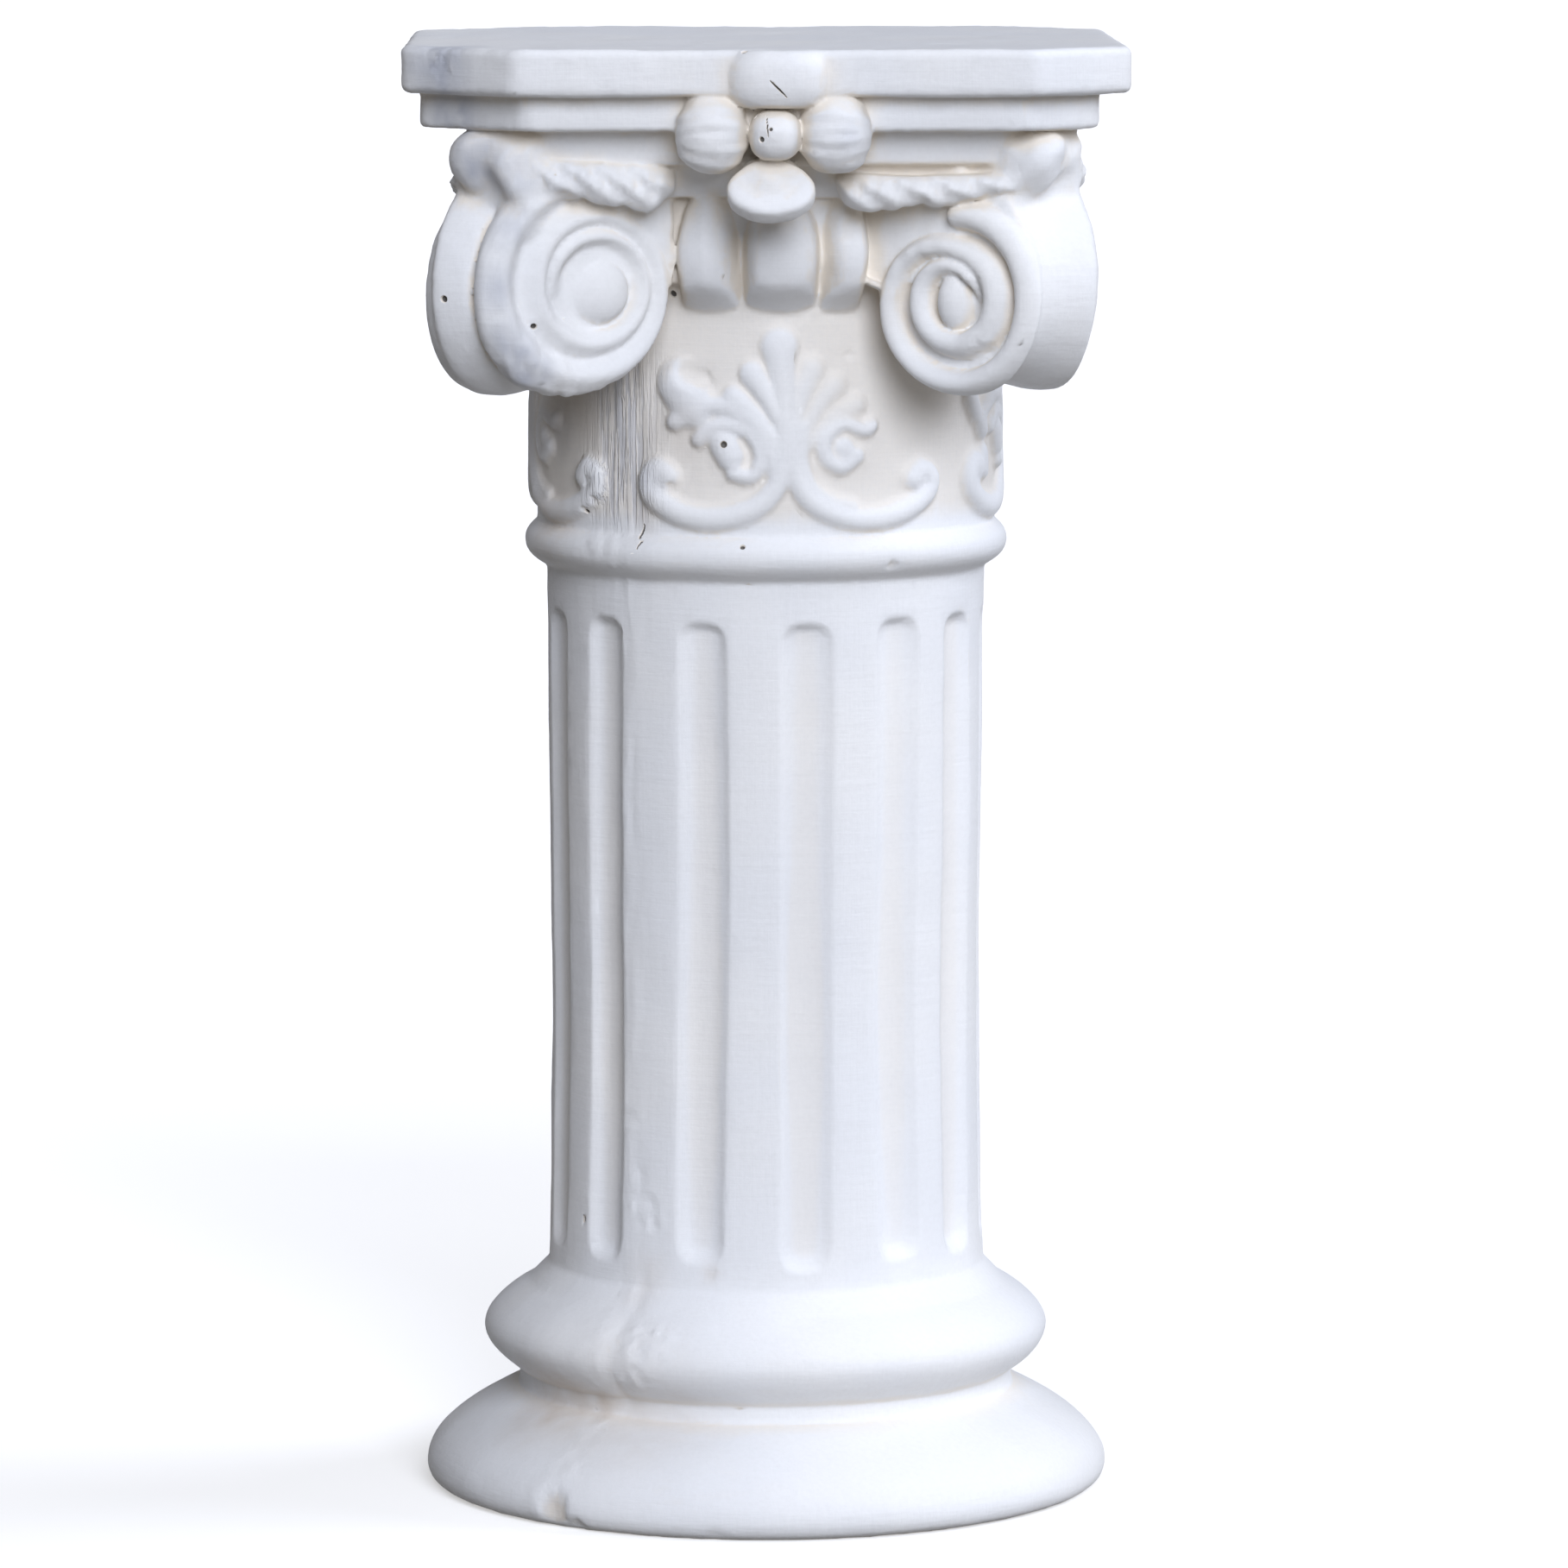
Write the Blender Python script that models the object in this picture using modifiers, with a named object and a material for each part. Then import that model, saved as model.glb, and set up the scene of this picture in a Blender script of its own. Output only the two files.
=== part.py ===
"""Column pedestal: one plaster casting with a double-torus base, a fluted shaft and a volute capital.

Metres, +Z up. The origin is the centre of the underside, and the front faces -Y.
"""

import math

import bmesh
import bpy
from mathutils import Matrix, Vector

# Base
FOOT_RADIUS = 0.157
FOOT_ROUNDING = 0.009
LOWER_TORUS_RADIUS = 0.165
LOWER_TORUS_EDGE_RADIUS = 0.1225
LOWER_TORUS_HEIGHT = 0.048
LOWER_TORUS_SHARES = (0.35, 0.6, 0.82, 1.0)
LOWER_TORUS_FULLNESS = 1.9
SCOTIA_RADIUS = 0.1195
SCOTIA_HEIGHT = 0.006
UPPER_TORUS_RADIUS = 0.1364
UPPER_TORUS_EDGE_RADIUS = 0.1153
UPPER_TORUS_HEIGHT = 0.044
UPPER_TORUS_STEPS = 6
CAVETTO_HEIGHT = 0.012
CAVETTO_FLARE = 0.0035

# Shaft
SHAFT_HEIGHT = 0.336
SHAFT_FOOT_RADIUS = 0.1056
SHAFT_WAIST_RADIUS = 0.1034
SHAFT_TOP_RADIUS = 0.1052
SHAFT_WAIST_HEIGHT = 0.150
FLUTE_COUNT = 14
FLUTE_WIDTH = 0.027
FLUTE_DEPTH = 0.005
FLUTE_FOOT_MARGIN = 0.010
FLUTE_HEAD_MARGIN = 0.024
FLUTE_END_ROUNDING = 0.006
FLUTE_PHASE = 7.7
FLUTE_ROD_SIDES = 14

# Astragal and neck
ASTRAGAL_RADIUS = 0.116
ASTRAGAL_EDGE_RADIUS = 0.1075
ASTRAGAL_HEIGHT = 0.026
ASTRAGAL_STEPS = 4
ASTRAGAL_FILLET = 0.001
NECK_RADIUS = 0.1095
NECK_HEIGHT = 0.108
NECK_FILLET = 0.006
BELL_RADIUS = 0.118
BELL_HEIGHT = 0.065

# Abacus: three slabs that share one plan, each with its corners cut off
ABACUS_HALF_WIDTH = 0.172
ABACUS_CORNER_CUT = 0.049
ABACUS_HEIGHT = 0.0223
ABACUS_EDGE_ROUNDING = 0.003
MIDDLE_STEP_INSET = 0.012
MIDDLE_STEP_HEIGHT = 0.0162
LOWER_STEP_INSET = 0.027
LOWER_STEP_TAPER = 0.005
LOWER_STEP_HEIGHT = 0.0165
SOFFIT_INSET = 0.036
SOFFIT_TAPER = 0.014
SOFFIT_HEIGHT = 0.016

# Volutes at the four corners
VOLUTE_REACH = 0.203
VOLUTE_LENGTH = 0.089
VOLUTE_RADIUS = 0.0494
VOLUTE_DROP = 0.058
VOLUTE_RIM_WIDTH = 0.0576
VOLUTE_FLARE = 0.268
VOLUTE_CHANNEL_SHARE = 0.15
VOLUTE_SIDES = 18
WEB_WIDTH = 0.076
WEB_ROOT_DEPTH = 0.035
WEB_FOOT_DROP = 0.015
WEB_TOP_REACH = 0.018
SPIRAL_TURNS = 2.0
SPIRAL_STEPS_A_TURN = 9
SPIRAL_PACE = 0.85
SPIRAL_OUTER_SHARE = 0.93
SPIRAL_INNER_SHARE = 0.30
SPIRAL_OUTER_RADIUS = 0.0048
SPIRAL_INNER_RADIUS = 0.0034
EYE_RADIUS = 0.0095
EYE_RISE = 0.006

# Lobes of the echinus, three on each side
LOBE_COUNT = 3
LOBE_PITCH = 16.5
LOBE_PHASE = 2.8
LOBE_WIDTH = 0.040
LOBE_DEPTH = 0.040
LOBE_HEIGHT = 0.066
LOBE_PROJECTION = 0.015
LOBE_FOOT_DROP = 0.071

# Flower on the front and on the back of the abacus
FLOWER_DROP = 0.040
FLOWER_PROJECTION = 0.009
PETAL_DEPTH = 0.024
TOP_PETAL_SIZE = (0.045, 0.029)
SIDE_PETAL_SIZE = (0.034, 0.037)
LOWER_PETAL_SIZE = (0.041, 0.027)
TOP_PETAL_RISE = 0.0245
SIDE_PETAL_OFFSET = 0.0275
LOWER_PETAL_DROP = 0.025
SIDE_PETAL_INSET = 0.002
LOWER_PETAL_INSET = 0.007
BUTTON_INSET = 0.001
BUTTON_RADIUS = 0.0115

# Leaf bands under the abacus, two on each side
BAND_RADIUS = 0.0085
BAND_START = 0.042
BAND_END = 0.120
BAND_DROP = 0.014
BAND_END_RISE = 0.012
BAND_INSET = 0.008
BAND_END_SHARE = 0.75
BAND_STEPS = 4

# Palmette relief round the neck
PALMETTE_COUNT = 4
PALMETTE_PHASE = 3.6
PALMETTE_HEIGHT = 0.090
RELIEF_HEIGHT = 0.0040
SCROLL_RADIUS = 0.0055
SCROLL_SPREAD = 0.074
SCROLL_RISE = 0.044
SCROLL_BOTTOM_MARGIN = 0.006
SCROLL_TURNS = 0.72
SCROLL_CLOSING = 0.55
SCROLL_THINNING = 0.35
SCROLL_STEM_GAP = 0.0033
SCROLL_STEPS = 8
STEM_HALF_WIDTH = 0.0045
STEM_HALF_HEIGHT = 0.026
STEM_RISE = 0.008
LEAF_REACH = 2
LEAF_LENGTH = 0.034
LEAF_SHORTENING = 0.11
LEAF_WIDTH = 0.009
LEAF_SPREAD = 32
LEAF_ROOT_GAP = 0.003
LEAF_SINK = 0.00225
HEART_SHARE = 0.58

LATHE_STEPS = 40
OVERLAP = 0.002
TOLERANCE = 0.000001
WELD_DISTANCE = 0.00001
PLASTER_COLOUR = (0.86, 0.86, 0.85, 1.0)
PLASTER_ROUGHNESS = 0.75

LOWER_TORUS_TOP = LOWER_TORUS_HEIGHT
UPPER_TORUS_FOOT = LOWER_TORUS_TOP + SCOTIA_HEIGHT
UPPER_TORUS_TOP = UPPER_TORUS_FOOT + UPPER_TORUS_HEIGHT
SHAFT_FOOT = UPPER_TORUS_TOP + CAVETTO_HEIGHT
SHAFT_TOP = SHAFT_FOOT + SHAFT_HEIGHT
NECK_FOOT = SHAFT_TOP + ASTRAGAL_HEIGHT
NECK_TOP = NECK_FOOT + NECK_HEIGHT
LOWER_STEP_FOOT = NECK_TOP + BELL_HEIGHT
MIDDLE_STEP_FOOT = LOWER_STEP_FOOT + LOWER_STEP_HEIGHT
ABACUS_FOOT = MIDDLE_STEP_FOOT + MIDDLE_STEP_HEIGHT
TOP = ABACUS_FOOT + ABACUS_HEIGHT
VOLUTE_CENTRE_HEIGHT = LOWER_STEP_FOOT - VOLUTE_DROP
VOLUTE_CENTRE_REACH = VOLUTE_REACH - VOLUTE_LENGTH / 2
SIDES = 4


def clear_scene():
    for obj in list(bpy.data.objects):
        bpy.data.objects.remove(obj, do_unlink=True)


def new_collection(name):
    collection = bpy.data.collections.new(name)
    bpy.context.scene.collection.children.link(collection)
    return collection


def plaster():
    material = bpy.data.materials.new("plaster")
    material.use_nodes = True
    shader = material.node_tree.nodes["Principled BSDF"]
    shader.inputs["Base Color"].default_value = PLASTER_COLOUR
    shader.inputs["Roughness"].default_value = PLASTER_ROUGHNESS
    shader.inputs["Metallic"].default_value = 0.0
    return material


def mesh_of(bm, name):
    """A mesh from a bmesh, with its normals facing out."""
    bmesh.ops.recalc_face_normals(bm, faces=bm.faces)
    mesh = bpy.data.meshes.new(name)
    bm.to_mesh(mesh)
    bm.free()
    return mesh


def helper(name, mesh, collection, turn=0.0):
    """An operand of the casting's Booleans, turned about the pedestal's axis."""
    obj = bpy.data.objects.new(name, mesh)
    obj.rotation_euler.z = turn
    obj.hide_render = True
    obj.display_type = "WIRE"
    collection.objects.link(obj)


def tube_mesh(name, points, radii, resolution):
    """A closed tube along the points, with a radius at each of them."""
    curve = bpy.data.curves.new(name, "CURVE")
    curve.dimensions = "3D"
    curve.bevel_depth = 1.0
    curve.bevel_resolution = resolution
    curve.use_fill_caps = True
    spline = curve.splines.new("POLY")
    spline.points.add(len(points) - 1)
    for point, place, radius in zip(spline.points, points, radii):
        point.co = (*place, 1.0)
        point.radius = radius
    guide = bpy.data.objects.new(name, curve)
    bpy.context.scene.collection.objects.link(guide)
    bpy.context.view_layer.update()
    evaluated = guide.evaluated_get(bpy.context.evaluated_depsgraph_get())
    bm = bmesh.new()
    bm.from_mesh(bpy.data.meshes.new_from_object(evaluated))
    bmesh.ops.remove_doubles(bm, verts=bm.verts, dist=WELD_DISTANCE)
    bpy.data.objects.remove(guide, do_unlink=True)
    return mesh_of(bm, name)


def ellipsoid(bm, centre, half_sizes, tilt=0.0, across=8, along=6):
    """Adds a ball with its poles up and down, stretched to the half sizes and tilted about the Y axis."""
    tilted = Matrix.Translation(centre) @ Matrix.Rotation(tilt, 4, "Y")
    stretched = tilted @ Matrix.Diagonal((*half_sizes, 1.0))
    bmesh.ops.create_uvsphere(bm, u_segments=across, v_segments=along, radius=1.0, matrix=stretched)


def wrap(place, radius):
    """Lays a flat place (along, outward, up) round a cylinder of the radius, starting at the front."""
    angle = place[0] / radius
    reach = radius + place[1]
    return Vector((reach * math.sin(angle), -reach * math.cos(angle), place[2]))


def shaft_radius(height):
    """The shaft narrows from both ends to its waist."""
    waist = SHAFT_FOOT + SHAFT_WAIST_HEIGHT
    if height < waist:
        end, span = SHAFT_FOOT_RADIUS, waist - SHAFT_FOOT
    else:
        end, span = SHAFT_TOP_RADIUS, SHAFT_TOP - waist
    share = (height - waist) / span
    return SHAFT_WAIST_RADIUS + (end - SHAFT_WAIST_RADIUS) * share * share


def swell(foot, top, edge, widest, steps):
    """A moulding that is widest at half its height, as (radius, height) from the foot up."""
    points = []
    for i in range(steps + 1):
        share = i / steps
        fall = (2 * share - 1) ** 2
        points.append((widest + (edge - widest) * fall, foot + (top - foot) * share))
    return points


def lathe_profile():
    """The turned outline as (radius, height), from the underside up."""
    points = [(0.0, 0.0)]
    for i in range(3):
        angle = math.radians(45 * i)
        radius = FOOT_RADIUS + (LOWER_TORUS_RADIUS - FOOT_RADIUS) * math.sin(angle)
        points.append((radius, FOOT_ROUNDING * (1 - math.cos(angle))))
    for share in LOWER_TORUS_SHARES:
        fall = (LOWER_TORUS_RADIUS - LOWER_TORUS_EDGE_RADIUS) * share**LOWER_TORUS_FULLNESS
        height = FOOT_ROUNDING + (LOWER_TORUS_TOP - FOOT_ROUNDING) * share
        points.append((LOWER_TORUS_RADIUS - fall, height))
    points.append((SCOTIA_RADIUS, LOWER_TORUS_TOP + SCOTIA_HEIGHT / 2))
    points += swell(
        UPPER_TORUS_FOOT, UPPER_TORUS_TOP, UPPER_TORUS_EDGE_RADIUS, UPPER_TORUS_RADIUS, UPPER_TORUS_STEPS
    )
    points.append((shaft_radius(SHAFT_FOOT) + CAVETTO_FLARE, UPPER_TORUS_TOP + CAVETTO_HEIGHT / 3))
    for share in (0.0, SHAFT_WAIST_HEIGHT / SHAFT_HEIGHT, 1.0):
        height = SHAFT_FOOT + SHAFT_HEIGHT * share
        points.append((shaft_radius(height), height))
    astragal_foot = SHAFT_TOP + ASTRAGAL_FILLET
    points += swell(astragal_foot, NECK_FOOT, ASTRAGAL_EDGE_RADIUS, ASTRAGAL_RADIUS, ASTRAGAL_STEPS)
    points.append((NECK_RADIUS, NECK_FOOT + NECK_FILLET))
    points.append((NECK_RADIUS, NECK_TOP))
    points.append((BELL_RADIUS, NECK_TOP + BELL_HEIGHT / 3))
    points.append((BELL_RADIUS, ABACUS_FOOT))
    points.append((0.0, ABACUS_FOOT))
    return points


def lathe():
    """The turned body: a Screw on the profile, whose outer side runs from the top down."""
    outline = [(radius, 0.0, height) for radius, height in reversed(lathe_profile())]
    mesh = bpy.data.meshes.new("pedestal")
    mesh.from_pydata(outline, [(i, i + 1) for i in range(len(outline) - 1)], [])
    obj = bpy.data.objects.new("pedestal", mesh)
    screw = obj.modifiers.new("turning", "SCREW")
    screw.angle = 2 * math.pi
    screw.steps = LATHE_STEPS
    screw.render_steps = LATHE_STEPS
    screw.use_merge_vertices = True
    screw.merge_threshold = 0.0001
    return obj


def rise_of(edge):
    return abs(edge.verts[0].co.z - edge.verts[1].co.z)


def flute_cutters(collection):
    """Long round-ended rods, standing so far out that each cuts a flute of the given width and depth."""
    rod = ((FLUTE_WIDTH / 2) ** 2 + FLUTE_DEPTH**2) / (2 * FLUTE_DEPTH)
    foot = SHAFT_FOOT + FLUTE_FOOT_MARGIN
    top = SHAFT_TOP - FLUTE_HEAD_MARGIN
    bm = bmesh.new()
    bmesh.ops.create_cone(
        bm,
        cap_ends=True,
        segments=FLUTE_ROD_SIDES,
        radius1=rod,
        radius2=rod,
        depth=top - foot,
        matrix=Matrix.Translation((0, 0, (foot + top) / 2)),
    )
    rims = [edge for edge in bm.edges if rise_of(edge) < TOLERANCE]
    bmesh.ops.bevel(bm, geom=rims, offset=FLUTE_END_ROUNDING, segments=2, profile=0.5, affect="EDGES")
    geometry = bm.verts[:] + bm.edges[:] + bm.faces[:]
    waist = (0, 0, SHAFT_FOOT + SHAFT_WAIST_HEIGHT)
    bmesh.ops.bisect_plane(bm, geom=geometry, plane_co=waist, plane_no=(0, 0, 1))
    for vert in bm.verts:
        vert.co.y -= shaft_radius(vert.co.z) - FLUTE_DEPTH + rod
    mesh = mesh_of(bm, "flute")
    for i in range(FLUTE_COUNT):
        turn = math.radians(FLUTE_PHASE) + 2 * math.pi * i / FLUTE_COUNT
        helper(f"flute_{i + 1}", mesh, collection, turn)


def slab(name, half_width, corner_cut, foot, top, taper, rounding, collection):
    """A square slab with its corners cut off, narrower at its foot by the taper."""
    bm = bmesh.new()
    bmesh.ops.create_cube(bm, size=2.0)
    for vert in bm.verts:
        vert.co.x *= half_width
        vert.co.y *= half_width
        vert.co.z = top if vert.co.z > 0 else foot
    uprights = [edge for edge in bm.edges if rise_of(edge) > TOLERANCE]
    bmesh.ops.bevel(bm, geom=uprights, offset=corner_cut, segments=1, affect="EDGES")
    for vert in bm.verts:
        if vert.co.z < (foot + top) / 2:
            vert.co.x *= 1 - taper / half_width
            vert.co.y *= 1 - taper / half_width
    if rounding:
        rims = [edge for edge in bm.edges if rise_of(edge) < TOLERANCE]
        bmesh.ops.bevel(bm, geom=rims, offset=rounding, segments=1, affect="EDGES")
    helper(name, mesh_of(bm, name), collection)


def abacus(collection):
    """The three slabs and the soffit under them, each sunk a little into the one above it."""
    corner_inset = 2 - math.sqrt(2)
    slab(
        "abacus",
        ABACUS_HALF_WIDTH,
        ABACUS_CORNER_CUT,
        ABACUS_FOOT,
        TOP,
        0.0,
        ABACUS_EDGE_ROUNDING,
        collection,
    )
    slab(
        "middle_step",
        ABACUS_HALF_WIDTH - MIDDLE_STEP_INSET,
        ABACUS_CORNER_CUT - MIDDLE_STEP_INSET * corner_inset,
        MIDDLE_STEP_FOOT,
        ABACUS_FOOT + 2 * OVERLAP,
        0.0,
        0.0,
        collection,
    )
    slab(
        "lower_step",
        ABACUS_HALF_WIDTH - LOWER_STEP_INSET,
        ABACUS_CORNER_CUT - LOWER_STEP_INSET * corner_inset,
        LOWER_STEP_FOOT,
        MIDDLE_STEP_FOOT + OVERLAP,
        LOWER_STEP_TAPER,
        0.0,
        collection,
    )
    slab(
        "soffit",
        ABACUS_HALF_WIDTH - SOFFIT_INSET,
        ABACUS_CORNER_CUT - SOFFIT_INSET * corner_inset,
        LOWER_STEP_FOOT - SOFFIT_HEIGHT,
        LOWER_STEP_FOOT + OVERLAP,
        SOFFIT_TAPER,
        0.0,
        collection,
    )


def volute_half_width(along):
    """Half the volute's thickness, which grows inwards. Along is measured outwards from its centre."""
    return VOLUTE_RIM_WIDTH / 2 + VOLUTE_FLARE * (VOLUTE_LENGTH / 2 - along)


def spool():
    """The body of a volute: a drum lying across the corner, wedge-shaped in plan, with a hollow rim."""
    bm = bmesh.new()
    lying = Matrix.Rotation(math.pi / 2, 4, "X")
    bmesh.ops.create_cone(
        bm, cap_ends=True, segments=VOLUTE_SIDES, radius1=1, radius2=1, depth=2, matrix=lying
    )
    across = [edge for edge in bm.edges if abs(edge.verts[0].co.y - edge.verts[1].co.y) > TOLERANCE]
    bmesh.ops.subdivide_edges(bm, edges=across, cuts=2, use_grid_fill=True)
    for vert in bm.verts:
        share = vert.co.y
        swell_share = 1 - VOLUTE_CHANNEL_SHARE * (1 - share * share)
        vert.co.x *= swell_share * VOLUTE_LENGTH / 2
        vert.co.z *= swell_share * VOLUTE_RADIUS
        vert.co.y = share * volute_half_width(vert.co.x)
    shift = Vector((VOLUTE_CENTRE_REACH, 0, VOLUTE_CENTRE_HEIGHT))
    bmesh.ops.translate(bm, verts=bm.verts, vec=shift)
    return mesh_of(bm, "volute_spool")


def volute_web():
    """The block that ties a volute to the bell and to the steps above it."""
    bm = bmesh.new()
    bmesh.ops.create_cube(bm, size=1.0)
    inner = BELL_RADIUS - WEB_ROOT_DEPTH
    for vert in bm.verts:
        high = vert.co.z > 0
        outside = vert.co.x > 0
        outer = VOLUTE_CENTRE_REACH + (WEB_TOP_REACH if high else 0.0)
        vert.co.x = outer if outside else inner
        vert.co.y *= VOLUTE_RIM_WIDTH if outside else WEB_WIDTH
        vert.co.z = LOWER_STEP_FOOT + OVERLAP if high else VOLUTE_CENTRE_HEIGHT - WEB_FOOT_DROP
    return mesh_of(bm, "volute_web")


def spiral(side):
    """The raised ridge of one volute face, wound inwards from its top over its outer rim."""
    steps = round(SPIRAL_STEPS_A_TURN * SPIRAL_TURNS)
    points = []
    radii = []
    for i in range(steps + 1):
        share = i / steps
        angle = math.pi / 2 - 2 * math.pi * SPIRAL_TURNS * share
        size = SPIRAL_OUTER_SHARE + (SPIRAL_INNER_SHARE - SPIRAL_OUTER_SHARE) * share**SPIRAL_PACE
        along = size * VOLUTE_LENGTH / 2 * math.cos(angle)
        up = size * VOLUTE_RADIUS * math.sin(angle)
        out = side * volute_half_width(along)
        points.append((VOLUTE_CENTRE_REACH + along, out, VOLUTE_CENTRE_HEIGHT + up))
        radii.append(SPIRAL_OUTER_RADIUS + (SPIRAL_INNER_RADIUS - SPIRAL_OUTER_RADIUS) * share)
    return tube_mesh(f"spiral_{'left' if side > 0 else 'right'}", points, radii, 0)


def eye(side):
    bm = bmesh.new()
    centre = (VOLUTE_CENTRE_REACH, side * volute_half_width(0.0), VOLUTE_CENTRE_HEIGHT)
    ellipsoid(bm, centre, (EYE_RADIUS, EYE_RISE, EYE_RADIUS), across=6, along=4)
    return mesh_of(bm, "eye")


def volutes(collection):
    shapes = {"spool": spool(), "web": volute_web()}
    for name, side in (("left", 1), ("right", -1)):
        shapes[f"spiral_{name}"] = spiral(side)
        shapes[f"eye_{name}"] = eye(side)
    for corner in range(SIDES):
        turn = math.pi / 4 + math.pi / 2 * corner
        for name, mesh in shapes.items():
            helper(f"volute_{corner + 1}_{name}", mesh, collection, turn)


def lobes(collection):
    """Egg-shaped lobes that stand out of the bell between the volutes."""
    foot = LOWER_STEP_FOOT - LOBE_FOOT_DROP
    reach = BELL_RADIUS + LOBE_PROJECTION - LOBE_DEPTH / 2
    bm = bmesh.new()
    centre = (0, -reach, foot + LOBE_HEIGHT / 2)
    ellipsoid(bm, centre, (LOBE_WIDTH / 2, LOBE_DEPTH / 2, LOBE_HEIGHT / 2), across=6, along=5)
    mesh = mesh_of(bm, "lobe")
    for side in range(SIDES):
        for i in range(LOBE_COUNT):
            angle = LOBE_PHASE + LOBE_PITCH * (i - (LOBE_COUNT - 1) / 2)
            helper(f"lobe_{side + 1}_{i + 1}", mesh, collection, math.radians(angle + 90 * side))


def flowers(collection):
    """Four petals round a button, on the front and on the back."""
    middle = TOP - FLOWER_DROP
    front = -(ABACUS_HALF_WIDTH + FLOWER_PROJECTION - PETAL_DEPTH / 2)
    step_root = -(ABACUS_HALF_WIDTH - LOWER_STEP_INSET - LOWER_STEP_TAPER - OVERLAP)
    bell_root = -(BELL_RADIUS - 2 * OVERLAP)
    button_size = (2 * BUTTON_RADIUS, 2 * BUTTON_RADIUS)
    shapes = (
        ((0, front, middle + TOP_PETAL_RISE), TOP_PETAL_SIZE, step_root),
        ((-SIDE_PETAL_OFFSET, front + SIDE_PETAL_INSET, middle), SIDE_PETAL_SIZE, step_root),
        ((SIDE_PETAL_OFFSET, front + SIDE_PETAL_INSET, middle), SIDE_PETAL_SIZE, step_root),
        ((0, front + LOWER_PETAL_INSET, middle - LOWER_PETAL_DROP), LOWER_PETAL_SIZE, bell_root),
        ((0, front + BUTTON_INSET, middle), button_size, step_root),
    )
    for i, (centre, (width, height), root) in enumerate(shapes):
        bm = bmesh.new()
        ellipsoid(bm, centre, (width / 2, PETAL_DEPTH / 2, height / 2), across=8, along=4)
        for vert in bm.verts:
            if vert.co.y > centre[1] + TOLERANCE:
                vert.co.y = root
        mesh = mesh_of(bm, f"petal_{i + 1}")
        for turn, name in ((0.0, "front"), (math.pi, "back")):
            helper(f"flower_{name}_{i + 1}", mesh, collection, turn)


def leaf_bands(collection):
    """Bands that hang under the lowest step and rise towards the corners."""
    depth = ABACUS_HALF_WIDTH - LOWER_STEP_INSET - BAND_INSET
    for name, side in (("left", -1), ("right", 1)):
        points = []
        radii = []
        for i in range(BAND_STEPS + 1):
            share = i / BAND_STEPS
            along = BAND_START + (BAND_END - BAND_START) * share
            outward = depth + BAND_INSET * share**2
            height = LOWER_STEP_FOOT - BAND_DROP + BAND_END_RISE * share**2
            points.append((side * along, -outward, height))
            fullness = BAND_END_SHARE + (1 - BAND_END_SHARE) * math.sin(math.pi * share)
            radii.append(BAND_RADIUS * fullness)
        mesh = tube_mesh(f"leaf_band_{name}", points, radii, 0)
        for i in range(SIDES):
            helper(f"leaf_band_{i + 1}_{name}", mesh, collection, math.pi / 2 * i)


def scroll(foot, side):
    """A tube on the neck that drops beside the palmette's stem and curls outwards and up into a hook."""
    half_spread = SCROLL_SPREAD / 2
    half_rise = SCROLL_RISE / 2
    points = []
    radii = []
    for i in range(SCROLL_STEPS + 1):
        share = i / SCROLL_STEPS
        angle = math.pi + SCROLL_TURNS * 2 * math.pi * share
        size = 1 - SCROLL_CLOSING * share
        along = side * (half_spread + half_spread * size * math.cos(angle) + SCROLL_STEM_GAP)
        up = foot + half_rise + half_rise * size * math.sin(angle)
        points.append(wrap((along, RELIEF_HEIGHT - SCROLL_RADIUS, up), NECK_RADIUS))
        radii.append(SCROLL_RADIUS * (1 - SCROLL_THINNING * share))
    return tube_mesh("scroll", points, radii, 0)


def stem_and_leaves():
    """The palmette's middle: a stem between the scrolls and a fan of five leaves."""
    foot = NECK_FOOT + SCROLL_BOTTOM_MARGIN
    bm = bmesh.new()
    heart = foot + PALMETTE_HEIGHT * HEART_SHARE
    half_depth = RELIEF_HEIGHT + LEAF_SINK
    centre = (0, -LEAF_SINK, (foot + heart) / 2 + STEM_RISE)
    ellipsoid(bm, centre, (STEM_HALF_WIDTH, half_depth, STEM_HALF_HEIGHT), across=4, along=4)
    mesh = mesh_of(bm, "stem")
    meshes = [mesh]
    for i in range(-LEAF_REACH, LEAF_REACH + 1):
        tilt = math.radians(LEAF_SPREAD * i)
        length = LEAF_LENGTH * (1 - LEAF_SHORTENING * abs(i))
        reach = length / 2 + LEAF_ROOT_GAP
        centre = (reach * math.sin(tilt), -LEAF_SINK, heart + reach * math.cos(tilt))
        bm = bmesh.new()
        ellipsoid(bm, centre, (LEAF_WIDTH / 2, half_depth, length / 2), tilt, across=4, along=4)
        meshes.append(mesh_of(bm, "leaf"))
    for mesh in meshes:
        for vert in mesh.vertices:
            vert.co = wrap((vert.co.x, -vert.co.y, vert.co.z), NECK_RADIUS)
        mesh.flip_normals()
    return meshes


def palmettes(collection):
    foot = NECK_FOOT + SCROLL_BOTTOM_MARGIN + SCROLL_RADIUS
    meshes = stem_and_leaves()
    for side in (-1, 1):
        meshes.append(scroll(foot, side))
    for unit in range(PALMETTE_COUNT):
        turn = math.radians(PALMETTE_PHASE) + 2 * math.pi * unit / PALMETTE_COUNT
        for i, mesh in enumerate(meshes):
            helper(f"palmette_{unit + 1}_{i + 1}", mesh, collection, turn)


def boolean(obj, name, operation, collection):
    modifier = obj.modifiers.new(name, "BOOLEAN")
    modifier.operation = operation
    modifier.operand_type = "COLLECTION"
    modifier.collection = collection
    modifier.solver = "EXACT"


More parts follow.
